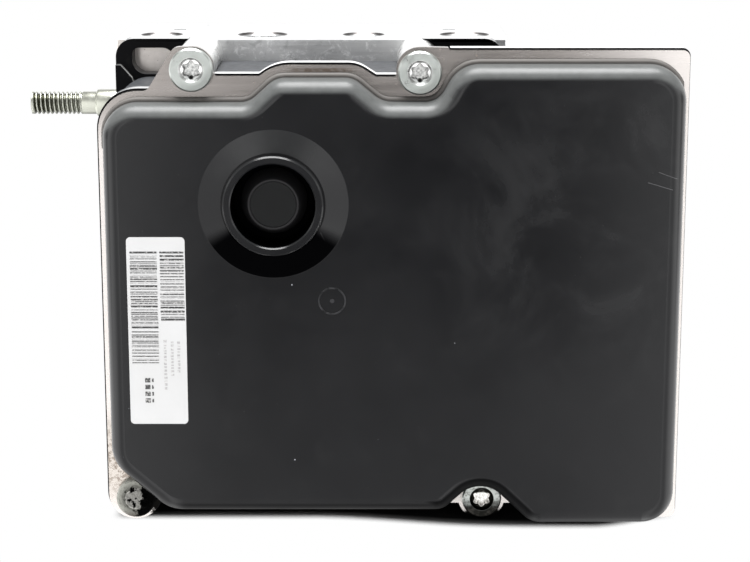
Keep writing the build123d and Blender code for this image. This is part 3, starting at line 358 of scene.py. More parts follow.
def ink(pale=False):
    m = Mat("label_ink_pale" if pale else "label_ink", IOR=1.4)
    # worn print: the paper shows through in flecks
    worn = m.smooth(m.noise(1.9, 5, 0.7, seed=3.3), 0.50, 0.62)
    solid = m.mix(m.noise(1.6, 4, 0.7), (0.02, 0.02, 0.02), (0.06, 0.06, 0.06))
    if pale:
        solid = m.mix(m.noise(1.6, 4, 0.7), (0.20, 0.20, 0.20), (0.42, 0.41, 0.41))
    m.set("Base Color", m.mix(m.mul(worn, 0.6), solid, (0.62, 0.61, 0.60)))
    m.set("Roughness", m.remap(m.noise(0.4, 3), 0.3, 0.7, 0.45, 0.6))
    return m


def plate_metal():
    m = Mat("plate_metal", Metallic=1.0)
    x, y, z = m.xyz()
    streak = m.noise(0.6, 5, 0.65, co=m.shift(scale=(0.12, 1, 1.6)))
    cloud = m.noise(0.05, 4, 0.6)
    base = m.mix(m.add(m.mul(streak, 0.5), m.mul(cloud, 0.5)), (0.47, 0.442, 0.425), (0.68, 0.642, 0.62))
    # darker and browner towards the top than along the sides
    base = m.mix(m.mul(m.smooth(z, 92.0, 108.0), m.smooth(x, 92.0, 55.0), 0.72), base, (0.175, 0.158, 0.147))
    spots = m.smooth(m.noise(0.9, 5, 0.7, seed=1.3), 0.64, 0.72)
    base = m.mix(m.mul(spots, 0.55), base, (0.26, 0.19, 0.14))
    # brown speckles gather at the lower left corner
    corner = m.mul(m.smooth(m.vec("DISTANCE", m.co, (-48.0, -52.0, 16.0)), 13.0, 3.0),
                   m.smooth(m.noise(0.95, 5, 0.72, seed=6.0), 0.47, 0.58))
    base = m.mix(m.mul(m.smooth(m.vec("DISTANCE", m.co, (-48.0, -52.0, 16.0)), 16.0, 6.0), 0.5), base, (0.40, 0.355, 0.30))
    base = m.mix(m.mul(corner, 0.7), base, (0.13, 0.095, 0.07))
    # a brown stain runs along the foot of the cover over the raised middle
    band = m.mul(m.smooth(m.math("ABSOLUTE", m.math("SUBTRACT", z, 113.85)), 0.60, 0.30),
                 m.smooth(x, -6.0, -1.0), m.smooth(x, 13.0, 8.0), m.remap(m.noise(0.9, 4), 0.35, 0.6, 0.35, 1.0))
    base = m.mix(m.mul(band, 0.75), base, (0.12, 0.085, 0.06))
    # black grime and painted shadow beside the corroded screw and under the lower right one
    rag = m.mul(m.math("SUBTRACT", m.noise(0.7, 5, 0.7, seed=11.0), 0.5), 5.0)
    left = m.smooth(m.add(m.vec("DISTANCE", m.co, (-34.5, -52.0, 4.6)), rag), 6.4, 5.2)
    right = m.smooth(m.add(m.vec("DISTANCE", m.co, (43.4, -52.0, -1.6)), m.mul(rag, 0.6)), 6.6, 5.0)
    grime_and_shadow = m.math("MAXIMUM", left, right)
    base = m.mix(grime_and_shadow, base, (0.004, 0.0038, 0.0035))
    m.set("Base Color", base)
    m.set("Roughness", m.remap(m.add(m.mul(streak, 0.6), m.mul(spots, 0.5)), 0.2, 0.9, 0.22, 0.42))
    m.bump(streak, 0.02, 0.5)
    return m


def housing_plastic():
    m = Mat("housing_plastic", IOR=1.4)
    x, y, z = m.xyz()
    base = m.mix(m.noise(0.05, 4), (0.0022, 0.0022, 0.0025), (0.0050, 0.0050, 0.0056))
    base = m.mix(m.mul(m.smooth(m.noise(0.35, 5, 0.65), 0.52, 0.75), 0.35), base, (0.012, 0.0115, 0.011))
    base = dust(m, base, per_mm=0.4, size=0.05, sparse=0.60, tone=(0.08, 0.08, 0.08))
    # dust and a painted bluish sky sheen lie on what faces up
    tower = m.smooth(z, 117.6, 117.9)
    upward_dust_sheen = m.mul(m.smooth(m.up(), 0.3, 0.9), m.remap(m.noise(0.6, 5, 0.65, seed=3.1), 0.3, 0.7, 0.4, 1.0), m.math("SUBTRACT", 1.0, tower))
    base = m.mix(upward_dust_sheen, base, (0.046, 0.049, 0.054))
    # painted highlight: the rim's upper edge is pale
    rim_highlight = m.mul(m.smooth(y, -46.4, -46.9), m.smooth(m.up(), 0.5, 0.8), m.smooth(z, 108.0, 110.0))
    base = m.mix(rim_highlight, base, (0.42, 0.42, 0.42))
    # painted highlight and rubbed wear along the edge of the gusset on the left tower
    for p, q in (((-49.2, 112.1), (-48.1, 112.1)), ((-48.1, 112.1), (-45.3, 108.9)), ((-45.3, 108.9), (-44.8, 107.5))):
        base = m.mix(m.mul(m.segment(p, q, 0.16, 0.1), m.smooth(y, -28.0, -27.0)), base, (0.24, 0.24, 0.235))
    m.set("Base Color", base)
    # matt black in front, where it faces the light tent's opening
    m.set("Metallic", m.mul(m.smooth(m.up(), 0.5, 0.2), 0.93))
    m.set("Roughness", m.mul(m.remap(m.noise(0.12, 5), 0.3, 0.7, 0.34, 0.55), m.remap(tower, 0.0, 1.0, 1.0, 0.2)))
    m.bump(m.noise(2.2, 3), 0.012, 0.4)
    return m


def zinc(name, dark=(0.30, 0.315, 0.29), light=(0.56, 0.58, 0.55), rough=(0.26, 0.5), spots=0.35, seed=2.0, roots=None):
    m = Mat(name, Metallic=1.0)
    a = m.noise(0.35, 5, 0.65, seed=seed)
    b = m.noise(1.4, 4, 0.7, seed=seed + 4)
    base = m.mix(m.add(m.mul(a, 0.6), m.mul(b, 0.4)), dark, light)
    base = m.mix(m.mul(m.smooth(b, 0.6, 0.72), spots), base, (0.16, 0.13, 0.10))
    if roots:
        # grease and dirt sit in the roots of the thread
        x, y, z = m.xyz()
        dz = m.math("SUBTRACT", z, roots[0])
        r = m.math("SQRT", m.add(m.mul(y, y), m.mul(dz, dz)))
        dirt = m.mul(m.smooth(r, roots[1], roots[2]), m.smooth(x, -58.5, -61.0), m.remap(m.smooth(x, -62.0, -74.0), 0.0, 1.0, 0.55, 1.0))
        base = m.mix(dirt, base, (0.035, 0.036, 0.022))
    m.set("Base Color", base)
    m.set("Roughness", m.remap(a, 0.3, 0.7, *rough))
    m.bump(b, 0.03, 0.35)
    return m


def screw_head(name, cx, cz, worn=0.0, seed=2.0):
    """Zinc screw head: matt annulus, painted bright glint in the countersink, painted shade round the six-lobe socket;
    worn heads get painted shade and a painted bright socket floor.
    """
    m = Mat(name, Metallic=1.0)
    x, y, z = m.xyz()
    r = m.vec("LENGTH", m.vec("MULTIPLY", m.vec("SUBTRACT", m.co, (cx, 0.0, cz)), (1.0, 0.0, 1.0)), (0, 0, 0))
    a = m.noise(0.35, 5, 0.65, seed=seed)
    b = m.noise(1.5, 5, 0.7, seed=seed + 4)
    base = m.mix(m.add(m.mul(a, 0.6), m.mul(b, 0.4)), (0.26, 0.275, 0.262), (0.50, 0.525, 0.505))
    base = m.mix(m.mul(m.smooth(b, 0.60, 0.72), 0.5), base, (0.15, 0.145, 0.13))
    # painted shade: the lower right of the head is darker
    side = m.smooth(m.add(m.mul(m.math("SUBTRACT", x, cx), 0.6), m.mul(m.math("SUBTRACT", z, cz), -1.0)), 0.5, 5.0)
    base = m.mix(m.mul(side, m.smooth(r, 3.0, 4.0), 0.55), base, (0.17, 0.18, 0.17))
    dx, dz = m.math("SUBTRACT", x, cx), m.math("SUBTRACT", z, cz)
    lobes = m.math("COSINE", m.mul(m.math("SUBTRACT", m.math("ARCTAN2", dz, dx), math.pi / 2), 6.0))
    star = m.math("SUBTRACT", r, m.add(m.mul(lobes, 0.27), 1.98))
    sink = m.smooth(r, 3.1, 2.95)
    inner = m.smooth(star, 0.05, -0.05)
    # painted highlight: the countersink is near white on its upper side and grey below; on the worn head it is painted
    # black as shade
    upper_sink_glint = m.smooth(dz, -1.6, 0.6)
    base = m.mix(sink, base, m.mix(upper_sink_glint, (0.42, 0.43, 0.42), (0.97, 0.97, 0.96)) if not worn else (0.006, 0.006, 0.005))
    # painted shade: dark line along the mouth of the socket and a black lobe at the bottom; the floor is mottled
    line = m.mul(m.smooth(m.math("ABSOLUTE", star), 0.17, 0.05), m.smooth(y, -53.80, -53.66))
    # on the worn head the socket floor is painted near white as a highlight
    deep = (0.27, 0.275, 0.27) if not worn else (0.50, 0.49, 0.47)
    base = m.mix(inner, base, m.mix(m.smooth(b, 0.38, 0.60), deep, (0.62, 0.62, 0.61) if not worn else (0.95, 0.93, 0.90)))
    base = m.mix(m.mul(line, 0.8 if not worn else 0.0), base, (0.05, 0.05, 0.05))
    dot = m.smooth(m.vec("LENGTH", m.node_vec(dx, m.add(dz, 1.95)), (0, 0, 0)), 0.62, 0.42)
    base = m.mix(m.mul(dot, m.smooth(y, -53.6, -53.3), 0.0 if worn else 0.95), base, (0.012, 0.012, 0.012))
    if worn:
        # painted shade: the worn head's annulus goes black towards the bottom
        low = m.mul(m.smooth(m.add(dz, m.mul(m.math("SUBTRACT", b, 0.5), 4.0)), 0.6, -2.4), m.smooth(r, 2.9, 3.1), worn)
        base = m.mix(low, base, (0.009, 0.009, 0.008))
        # painted shadow: the upper part of the socket floor is dark
        base = m.mix(m.mul(inner, m.smooth(m.add(dz, m.mul(m.math("SUBTRACT", b, 0.5), 1.5)), 0.75, 1.15)), base, (0.006, 0.006, 0.005))
        mottle = m.mul(m.smooth(m.noise(1.1, 5, 0.75, seed=seed + 9), 0.46, 0.62), m.smooth(r, 2.9, 3.1), worn)
        base = m.mix(m.mul(mottle, 0.75), base, (0.045, 0.042, 0.038))
        base = m.mix(m.mul(inner, m.smooth(m.noise(2.4, 4, 0.7, seed=seed + 2), 0.55, 0.66), 0.6), base, (0.12, 0.10, 0.08))
    m.set("Base Color", base)
    m.set("Roughness", m.add(m.remap(a, 0.3, 0.7, 0.24, 0.42), m.mul(side, 0.1)))
    m.bump(b, 0.05, 0.5)
    return m


def rusty():
    m = Mat("screw_rust")
    x, y, z = m.xyz()
    cx, cz = -43.9, 6.2
    r = m.vec("LENGTH", m.vec("MULTIPLY", m.vec("SUBTRACT", m.co, (cx, 0.0, cz)), (1.0, 0.0, 1.0)), (0, 0, 0))
    a = m.noise(0.55, 6, 0.7, seed=2.2)
    b = m.noise(1.6, 6, 0.75, seed=5.1)
    c = m.noise(0.8, 5, 0.7, seed=9.4)
    ragged = m.add(r, m.mul(m.math("SUBTRACT", c, 0.5), 1.2))
    core = m.smooth(ragged, 2.75, 2.45)
    base = m.mix(m.smooth(r, 2.6, 4.6), m.mix(a, (0.05, 0.05, 0.042), (0.10, 0.10, 0.086)), m.mix(a, (0.17, 0.172, 0.15), (0.36, 0.36, 0.325)))
    base = m.mix(core, base, m.mix(b, (0.10, 0.098, 0.090), (0.30, 0.295, 0.275)))
    base = m.mix(m.mul(m.smooth(b, 0.52, 0.64), 0.6), base, (0.045, 0.038, 0.030))
    # a pale broken line where the crust meets the head's flat
    base = m.mix(m.mul(m.smooth(m.math("ABSOLUTE", m.math("SUBTRACT", ragged, 2.62)), 0.20, 0.05), m.smooth(c, 0.42, 0.55), 0.75), base, (0.48, 0.47, 0.44))
    holes = m.mul(m.smooth(m.noise(0.62, 3, 0.6, seed=15.0), 0.545, 0.575), m.smooth(r, 3.6, 3.1))
    base = m.mix(holes, base, (0.002, 0.002, 0.002))
    # oily black and a painted shadow on the right of the head and below it
    wander = m.mul(m.math("SUBTRACT", m.noise(0.5, 5, 0.7, seed=4.0), 0.5), 6.0)
    reach = m.add(m.math("SUBTRACT", x, cx), wander, m.mul(m.math("SUBTRACT", z, cz), -0.25))
    black = m.smooth(reach, 1.0, 1.5)
    base = m.mix(black, base, (0.0015, 0.0015, 0.0015))
    base = m.mix(m.mul(m.smooth(m.math("SUBTRACT", z, cz), -2.6, -4.8), 0.85, m.math("SUBTRACT", 1.0, black)), base, (0.028, 0.018, 0.012))
    m.set("Base Color", base)
    m.set("Metallic", m.math("MAXIMUM", m.smooth(a, 0.45, 0.65, 0.0, 0.4), m.math("MAXIMUM", black, holes)))
    m.set("Roughness", m.remap(b, 0.3, 0.7, 0.55, 0.9))
    m.bump(b, 0.25, 0.8)
    m.bump(c, 0.35, 0.6)
    return m


def turned(name, dark, light, axis="Y", rough=(0.2, 0.38), rings=3.2, metallic=1.0):
    """Turned metal: fine rings along the axis with faint stains."""
    m = Mat(name, Metallic=metallic)
    sc = {"X": (rings, 0.08, 0.08), "Y": (0.08, rings, 0.08), "Z": (0.08, 0.08, rings)}[axis]
    r = m.noise(1.0, 3, 0.6, co=m.shift(scale=sc))
    s = m.noise(0.2, 5, 0.65)
    m.set("Base Color", m.mix(m.add(m.mul(r, 0.4), m.mul(s, 0.6)), dark, light))
    m.set("Roughness", m.remap(s, 0.3, 0.7, *rough))
    m.bump(r, 0.012, 0.5)
    return m


def block_alu():
    m = Mat("block_alu", Metallic=1.0)
    # face-milling marks run along X on every face, scuffs and stains over them
    mill = m.noise(1.0, 2, 0.5, co=m.shift(scale=(0.05, 2.4, 2.4)))
    arcs = m.node("ShaderNodeTexWave", wave_type="RINGS", rings_direction="SPHERICAL")
    arcs.inputs["Scale"].default_value = 0.62
    arcs.inputs["Distortion"].default_value = 0.5
    arcs.inputs["Detail"].default_value = 1.0
    m.t.links.new(m.shift(loc=(-210.0, 0.0, -60.0)), arcs.inputs["Vector"])
    arc = arcs.outputs["Fac"]
    stain = m.noise(0.07, 5, 0.62)
    base = m.mix(m.add(m.mul(stain, 0.6), m.mul(mill, 0.4)), (0.40, 0.405, 0.41), (0.66, 0.66, 0.66))
    scuff = m.smooth(m.noise(0.30, 6, 0.78, distortion=1.0, seed=8.0), 0.50, 0.68)
    base = m.mix(m.mul(scuff, 0.75), base, (0.92, 0.92, 0.92))
    blotch = m.smooth(m.noise(0.28, 5, 0.7, distortion=0.8, seed=12.0), 0.52, 0.68)
    base = m.mix(m.mul(blotch, 0.5), base, (0.27, 0.275, 0.28))
    base = m.mix(m.mul(m.smooth(m.noise(0.9, 5, 0.7, seed=4.4), 0.64, 0.72), 0.5), base, (0.22, 0.21, 0.20))
    # a beige bloom with dark specks on the front face at the upper left
    x, y, z = m.xyz()
    bloom = m.mul(m.smooth(x, -31.0, -34.0), m.smooth(z, 106.0, 109.0), m.smooth(y, -19.0, -19.8))
    base = m.mix(m.mul(bloom, 0.85), base, m.mix(m.noise(0.6, 4), (0.42, 0.385, 0.36), (0.60, 0.56, 0.53)))
    specks = m.mul(m.smooth(m.voronoi(1.4), 0.20, 0.09), m.smooth(m.noise(0.45, 3, seed=5.5), 0.50, 0.56))
    base = m.mix(m.mul(bloom, specks, 0.85), base, (0.06, 0.05, 0.045))
    # painted shade: a dark ring round each port's mouth
    port_mouth_shade = m.mul(m.smooth(m.up(), 0.5, 0.6), m.smooth(m.up(), 0.92, 0.8), m.smooth(z, 117.0, 117.15))
    base = m.mix(m.mul(port_mouth_shade, 0.9), base, (0.07, 0.062, 0.06))
    m.set("Base Color", base)
    m.set("Roughness", m.remap(m.add(m.mul(mill, 0.5), m.mul(stain, 0.5)), 0.3, 0.7, 0.26, 0.44))
    m.bump(m.add(m.mul(mill, 0.6), m.mul(arc, 0.4)), 0.012, 0.6)
    return m


def plain_metal(name, dark, light, rough=(0.25, 0.45)):
    m = Mat(name, Metallic=1.0)
    s = m.noise(0.3, 5, 0.65)
    m.set("Base Color", m.mix(s, dark, light))
    m.set("Roughness", m.remap(m.noise(0.8, 4), 0.3, 0.7, *rough))
    m.bump(m.noise(2.5, 3), 0.01, 0.4)
    return m


def plain_plastic(name, dark, light, rough=(0.4, 0.6), ior=1.45, grain=2.5):
    m = Mat(name, IOR=ior)
    m.set("Base Color", m.mix(m.noise(0.12, 5, 0.6), dark, light))
    m.set("Roughness", m.remap(m.noise(0.4, 4), 0.3, 0.7, *rough))
    m.bump(m.noise(grain, 3), 0.015, 0.45)
    return m


def winding():
    m = Mat("copper_wire", Metallic=1.0)
    w = m.node("ShaderNodeTexWave", wave_type="BANDS", bands_direction="Y")
    w.inputs["Scale"].default_value = 1.1
    w.inputs["Distortion"].default_value = 0.6
    w.inputs["Detail"].default_value = 1.0
    m.t.links.new(m.co, w.inputs["Vector"])
    f = w.outputs["Fac"]
    m.set("Base Color", m.mix(f, (0.30, 0.11, 0.045), (0.70, 0.31, 0.15)))
    m.set("Roughness", m.remap(m.noise(0.6, 4), 0.3, 0.7, 0.25, 0.4))
    m.bump(f, 0.08, 0.8)
    return m


def board_mask():
    m = Mat("board_mask", IOR=1.5)
    tracks = m.smooth(m.voronoi(0.9, feature="DISTANCE_TO_EDGE"), 0.03, 0.06)
    m.set("Base Color", m.mix(tracks, (0.02, 0.12, 0.055), (0.012, 0.075, 0.035)))
    m.set("Roughness", m.remap(m.noise(0.5, 3), 0.3, 0.7, 0.25, 0.4))
    m.bump(tracks, 0.03, 0.5)
    return m


STEEL = plain_metal("steel", (0.42, 0.42, 0.42), (0.60, 0.60, 0.60))
SCREW_ZINC = zinc("screw_zinc")
MATS = {
    "cover_plastic": cover_plastic(),
    "vent_plastic": vent_plastic(),
    "membrane": membrane(),
    "label_stock": label_stock(),
    "plate_metal": plate_metal(),
    "board": board_mask(),
    "chip": plain_plastic("chip", (0.008, 0.008, 0.008), (0.02, 0.02, 0.02)),
    "capacitor": plain_metal("capacitor", (0.5, 0.5, 0.52), (0.72, 0.72, 0.74)),
    "pin_metal": plain_metal("pin_metal", (0.62, 0.48, 0.22), (0.80, 0.66, 0.36), (0.2, 0.32)),
    "housing_plastic": housing_plastic(),
    "seal_rubber": plain_plastic("seal_rubber", (0.008, 0.008, 0.008), (0.02, 0.02, 0.02), (0.6, 0.8)),
    "screw_zinc": SCREW_ZINC,
    "screw_rust": rusty(),
    "sleeve_steel": turned("sleeve_steel", (0.50, 0.505, 0.50), (0.68, 0.68, 0.67)),
    "block_alu": block_alu(),
    "steel": STEEL,
    "spring_steel": plain_metal("spring_steel", (0.30, 0.30, 0.31), (0.48, 0.48, 0.48)),
    "copper": winding(),
    "nylon": plain_plastic("nylon", (0.58, 0.53, 0.42), (0.70, 0.66, 0.55)),
    "motor_steel": turned("motor_steel", (0.42, 0.43, 0.42), (0.62, 0.63, 0.61), rings=0.9, rough=(0.28, 0.46)),
    "magnet": plain_metal("magnet", (0.06, 0.06, 0.065), (0.12, 0.12, 0.125), (0.5, 0.7)),
    "carbon": plain_plastic("carbon", (0.02, 0.02, 0.02), (0.05, 0.05, 0.05), (0.35, 0.55)),
    "stud_zinc": zinc("stud_zinc", (0.44, 0.44, 0.38), (0.74, 0.74, 0.68), (0.22, 0.42), 0.2, 7.0),
}
for s in frame["record"]["subparts"]:
    give(s["node"], MATS[s["material_slot"]])
give("ecu_screw_top_left", screw_head("screw_head_a", -27.95, 114.1))
give("ecu_screw_top_right", screw_head("screw_head_b", 27.0, 113.4, seed=6.0))
give("ecu_screw_bottom_right", screw_head("screw_head_c", 43.0, 6.1, worn=1.0, seed=9.0))

# ------------------------------------------------------------- label's print
# generic bars and dashes in two columns; they carry no code and no letters
LABEL_Y = -61.15
rng = random.Random(5)


def print_block(bm, x0, x1, z0, z1):
    """A film of ink 0.02 mm thick on the label's face."""
    v = [bm.verts.new(mm(x, y, z)) for y in (LABEL_Y + 0.02, LABEL_Y - 0.02) for x, z in ((x0, z0), (x1, z0), (x1, z1), (x0, z1))]
    for f in ((4, 5, 6, 7), (0, 1, 5, 4), (1, 2, 6, 5), (2, 3, 7, 6), (3, 0, 4, 7)):
        bm.faces.new([v[i] for i in f])


def bars(bm, x0, x1, top, bottom, heavy):
    z = top
    while z > bottom + 0.3:
        t = rng.choice((0.16, 0.22, 0.22, 0.32, 0.46) if heavy else (0.12, 0.12, 0.16, 0.2))
        print_block(bm, x0 + rng.uniform(0, 0.12), x1 - rng.uniform(0, 0.12), z - t, z)
        z -= t + rng.choice((0.22, 0.3, 0.42, 0.55, 0.8))


ink_bm = bmesh.new()
bars(ink_bm, -43.0, -36.4, 71.2, 43.0, True)
bars(ink_bm, -35.8, -29.9, 71.2, 53.3, True)
pale_bm = bmesh.new()
bars(pale_bm, -43.1, -36.3, 70.9, 43.3, False)
bars(pale_bm, -35.7, -30.0, 70.9, 53.6, False)
# three columns of fine dashes, like lines of small print turned on their side
for col, z0, z1 in ((-31.6, 48.8, 41.0), (-33.2, 48.8, 40.2), (-34.9, 49.2, 37.0)):
    z = z0
    while z > z1:
        t = rng.uniform(0.35, 0.65)
        print_block(pale_bm, col - rng.uniform(0.28, 0.42), col + rng.uniform(0.28, 0.42), z - t, z)
        z -= t + rng.uniform(0.28, 0.4)
# four bolder dashes below the left column
for k in range(4):
    z = 39.6 - 1.72 * k
    print_block(ink_bm, -40.0, -38.7, z - 1.15, z)
    print_block(ink_bm, -38.35, -37.9, z - 1.05, z - 0.1)
bars_piece = mesh_piece("label_bars", ink_bm, ink())
dash_piece = mesh_piece("label_dashes", pale_bm, ink(pale=True))


# ------------------------------------------------------------------- threads
def thread(bm, origin, axis, radial, length, r_crest, depth, pitch, inward=False, around=40, steps=10, run_out=(0.6, 0.6), flat=0.18):
    """A helical V thread as one skin on a rod (or, inward, on a bore)."""
    o, a, u = Vector(origin), Vector(axis).normalized(), Vector(radial).normalized()
    w = a.cross(u)
    n = max(2, int(round(length / pitch * steps)))
    rows = []
    for i in range(n + 1):
        s = length * i / n
        fade = min(1.0, s / run_out[0] if run_out[0] else 1.0, (length - s) / run_out[1] if run_out[1] else 1.0)
        row = []
        for k in range(around):
            t = (s / pitch - k / around) % 1.0
            tri = abs(2.0 * t - 1.0)                      # 1 at a crest, 0 at a root
            cut = min(1.0, max(0.0, (1.0 - tri - flat) / (1.0 - 2.0 * flat)))
            d = depth * cut * max(0.0, fade)
            r = r_crest + d if inward else r_crest - d
            ang = 2.0 * math.pi * k / around
            row.append(bm.verts.new((o + a * s + (u * math.cos(ang) + w * math.sin(ang)) * r) * MM))
        rows.append(row)
    for i in range(n):
        for k in range(around):
            j = (k + 1) % around
            q = (rows[i][k], rows[i][j], rows[i + 1][j], rows[i + 1][k])
            bm.faces.new(q if not inward else tuple(reversed(q)))
    return rows


STUD = zinc("stud_thread_zinc", (0.28, 0.287, 0.24), (0.50, 0.507, 0.455), (0.24, 0.42), 0.3, 7.0, roots=(98.7, 2.92, 2.66))
bm = bmesh.new()
o = (-75.2, 0.0, 98.7)
rows = thread(bm, o, (1, 0, 0), (0, 0, 1), 13.6, 3.0, 0.62, 1.16, around=48, steps=12, run_out=(1.3, 0.8))
# chamfered tip and plain shank with its collar, turned in one with the thread
def ring_at(bm, x, r, n=48):
    return [bm.verts.new(mm(x, r * math.sin(2 * math.pi * k / n) * -1.0, 98.7 + r * math.cos(2 * math.pi * k / n))) for k in range(n)]


def skin(bm, a, b):
    n = len(a)
    for k in range(n):
        bm.faces.new((a[k], a[(k + 1) % n], b[(k + 1) % n], b[k]))


tip = ring_at(bm, -75.4, 2.3)
bm.faces.new(list(reversed(tip)))
skin(bm, tip, rows[0])
last = rows[-1]
for x, r in ((-58.2, 3.0), (-57.95, 3.15), (-57.8, 3.45), (-57.6, 3.6), (-50.2, 3.6), (-50.0, 3.4), (-49.95, 3.0), (-40.4, 3.0), (-39.8, 2.4)):
    nxt = ring_at(bm, x, r)
    skin(bm, last, nxt)
    last = nxt
bm.faces.new(last)
bmesh.ops.recalc_face_normals(bm, faces=bm.faces)
stud = mesh_piece("stud_threaded", bm, STUD, smooth_angle=42)
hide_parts("mounting_stud")

# threads inside the pipe ports
bm = bmesh.new()
for px, pr in zip((-39.6, -13.2, 13.2, 39.6), (4.6, 5.6, 4.6, 5.6)):
    thread(bm, (px, -6.5, 116.5), (0, 0, -1), (1, 0, 0), 10.6, pr - 0.55, 0.5, 1.0, inward=True, around=36, steps=6, run_out=(0.9, 0.9))
for px in (-34.0, 34.0):
    thread(bm, (px, 18.9, 100.0), (0, -1, 0), (1, 0, 0), 10.6, 5.05, 0.5, 1.0, inward=True, around=36, steps=6, run_out=(0.9, 0.9))
port_threads = mesh_piece("port_threads", bm, MATS["block_alu"], smooth_angle=50)

# ------------------------------------------------------ crust on the old screw
bm = bmesh.new()
cx, cz, face = -43.9, 6.2, -54.4
rows = []
NR, NA = 26, 72
for i in range(NR + 1):
    r = 0.25 + 3.9 * i / NR
    row = []
    for k in range(NA):
        t = 2 * math.pi * k / NA
        x, z = cx + r * math.cos(t), cz + r * math.sin(t)
        p = Vector((x, 0.0, z))
        n1 = noise.noise(p * 0.9 + Vector((3.1, 0, 7.7)))
        n2 = noise.noise(p * 2.3 + Vector((9.0, 0, 1.0)))
        n3 = noise.noise(p * 5.0)
        swell = math.exp(-((r - 2.6) / 1.25) ** 2)
        h = 0.55 * swell * (0.35 + 0.9 * n1) + 0.28 * n2 * swell + 0.10 * n3 * swell - 0.09
        h = min(h, 0.75)
        row.append(bm.verts.new(mm(x, face - h, z)))
    rows.append(row)
for i in range(NR):
    for k in range(NA):
        j = (k + 1) % NA
        bm.faces.new((rows[i][k], rows[i][j], rows[i + 1][j], rows[i + 1][k]))
bmesh.ops.recalc_face_normals(bm, faces=bm.faces)
crust = mesh_piece("screw_crust", bm, MATS["screw_rust"], smooth_angle=60)

# ------------------------------------------- accumulator springs, copied out as separate coils
for side, sx in (("left", -0.028), ("right", 0.028)):
    spring = NODES["accumulator_spring_" + side]
    me = spring.data.copy()
    me.transform(spring.matrix_world)
    coil = bpy.data.objects.new("accumulator_coil_" + side, me)
    scene.collection.objects.link(coil)
    heights = [v.co.z for v in me.vertices]
    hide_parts("accumulator_spring_" + side)
    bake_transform(coil)

# -------------------------------------------------------------------- stage
bm = bmesh.new()
bmesh.ops.create_grid(bm, x_segments=2, y_segments=2, size=0.16)
me = bpy.data.meshes.new("floor")
bm.to_mesh(me)
bm.free()
floor = bpy.data.objects.new("floor", me)
floor.location = (0.02, 0.03, 0.0)
scene.collection.objects.link(floor)
# pale paper that burns out to white a few millimetres outside the object's shadow
floor_mat = Mat("floor_paper", Roughness=1.0, IOR=1.01)
fx, fy, fz = floor_mat.xyz()
fx, fy = floor_mat.add(fx, 20.0), floor_mat.add(fy, 30.0)
bulge = floor_mat.mul(floor_mat.smooth(fx, 0.0, 50.0), floor_mat.smooth(fx, 92.0, 70.0))
edge = floor_mat.math("SUBTRACT", -53.2, floor_mat.mul(bulge, 7.0))
depth = floor_mat.math("SUBTRACT", fy, edge)
inside = floor_mat.mul(floor_mat.smooth(depth, 0.0, 5.0), floor_mat.smooth(fx, -51.0, -46.0), floor_mat.smooth(fx, 93.0, 84.0),
                       floor_mat.smooth(fy, 150.0, 100.0))
# painted contact shadow: the paper is near black under the object
painted_shade_under = floor_mat.mul(floor_mat.smooth(depth, 2.0, 8.0), floor_mat.smooth(fy, 24.0, 18.0))
paper = floor_mat.mix(floor_mat.noise(0.01, 3), (0.335, 0.335, 0.335), (0.345, 0.345, 0.345))
floor_mat.set("Base Color", floor_mat.mix(painted_shade_under, paper, (0.01, 0.01, 0.01)))
floor_mat.set("Alpha", inside)
me.materials.append(floor_mat.m)

# a white cyclorama: bright behind and at the sides, darker where the camera stands
world = bpy.data.worlds.new("studio")
scene.world = world
world.use_nodes = True
wt = world.node_tree
wt.nodes.clear()


def wnode(kind, *ins, **kw):
    n = wt.nodes.new(kind)
    for k, v in kw.items():
        setattr(n, k, v)
    for sock, v in zip(n.inputs, ins):
        if isinstance(v, bpy.types.NodeSocket):
            wt.links.new(v, sock)
        elif v is not None:
            sock.default_value = v
    return n


def wstep(v, a, b, lo, hi):
    return wnode("ShaderNodeMapRange", v, a, b, lo, hi, interpolation_type="SMOOTHSTEP").outputs[0]


def wmix(f, a, b):
    d = wnode("ShaderNodeMath", b, a, operation="SUBTRACT").outputs[0]
    return wnode("ShaderNodeMath", d, f, a, operation="MULTIPLY_ADD").outputs[0]


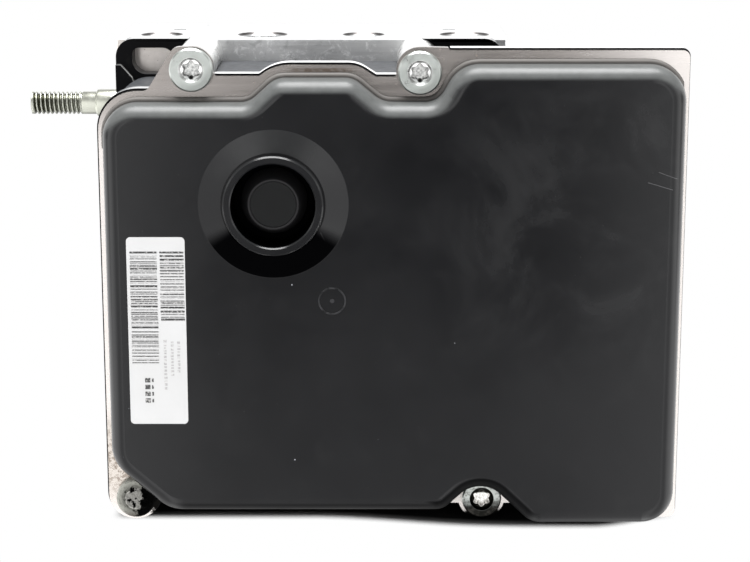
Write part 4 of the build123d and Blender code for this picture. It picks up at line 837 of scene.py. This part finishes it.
wdir = wnode("ShaderNodeSeparateXYZ", wnode("ShaderNodeTexCoord").outputs["Generated"]).outputs
wx = wnode("ShaderNodeMath", wdir[0], operation="ABSOLUTE").outputs[0]
low = wstep(wdir[2], -0.235, -0.31, FRONT_DARK, FRONT_LOW)
front = wmix(wstep(wdir[0], 0.10, 0.19, 0.0, 1.0), low, SIDE_LEVEL)
front = wmix(wstep(wdir[0], -0.09, -0.16, 0.0, 1.0), front, SIDE_LEVEL)
front = wmix(wstep(wx, 0.20, 0.40, 0.0, 1.0), front, 1.6)
front = wmix(wstep(wx, 0.55, 0.90, 0.0, 1.0), front, 3.4)
front = wmix(wstep(wx, 0.955, 0.99, 0.0, 1.0), front, 1.3)
front = wmix(wstep(wdir[2], 0.05, 0.6, 0.0, 1.0), front, TOP_LEVEL)
back = wmix(wstep(wdir[2], 0.02, 0.5, 0.0, 1.0), BACK_LEVEL, TOP_LEVEL)
deep = wnode("ShaderNodeMath", wstep(wdir[2], 0.10, -0.02, 0.0, 1.0), wstep(wx, 0.62, 0.42, 0.0, 1.0), operation="MULTIPLY").outputs[0]
back = wmix(deep, back, 0.62)
light = wmix(wstep(wdir[1], 0.05, 0.55, 0.0, 1.0), front, back)
seen = wmix(wnode("ShaderNodeLightPath").outputs["Is Camera Ray"], light, 1.0)
bg = wnode("ShaderNodeBackground", (1.0, 1.0, 1.0, 1.0), seen)
wt.links.new(bg.outputs[0], wnode("ShaderNodeOutputWorld").inputs[0])

sun = bpy.data.objects.new("overhead", bpy.data.lights.new("overhead", "SUN"))
sun.data.energy = SUN_LEVEL
sun.data.angle = math.radians(46)
sun.rotation_euler = Vector(SUN_DIRECTION).to_track_quat("-Z", "Y").to_euler()
scene.collection.objects.link(sun)

scene.view_settings.view_transform = "Standard"
scene.view_settings.look = "None"

# ------------------------------------------------------------------- camera
cam = bpy.data.objects.new("camera", bpy.data.cameras.new("camera"))
scene.collection.objects.link(cam)
cam.data.sensor_width = 36.0
cam.data.lens = 97.44
cam.location = mm(16.2, -539.2, 174.3)
aim = mm(16.2, -52.0, 61.8) - cam.location
cam.rotation_mode = "QUATERNION"
cam.rotation_quaternion = aim.to_track_quat("-Z", "Y")
cam.data.clip_start = 0.01
cam.data.clip_end = 50.0
cam.data.dof.use_dof = False
scene.camera = cam

bpy.context.view_layer.update()
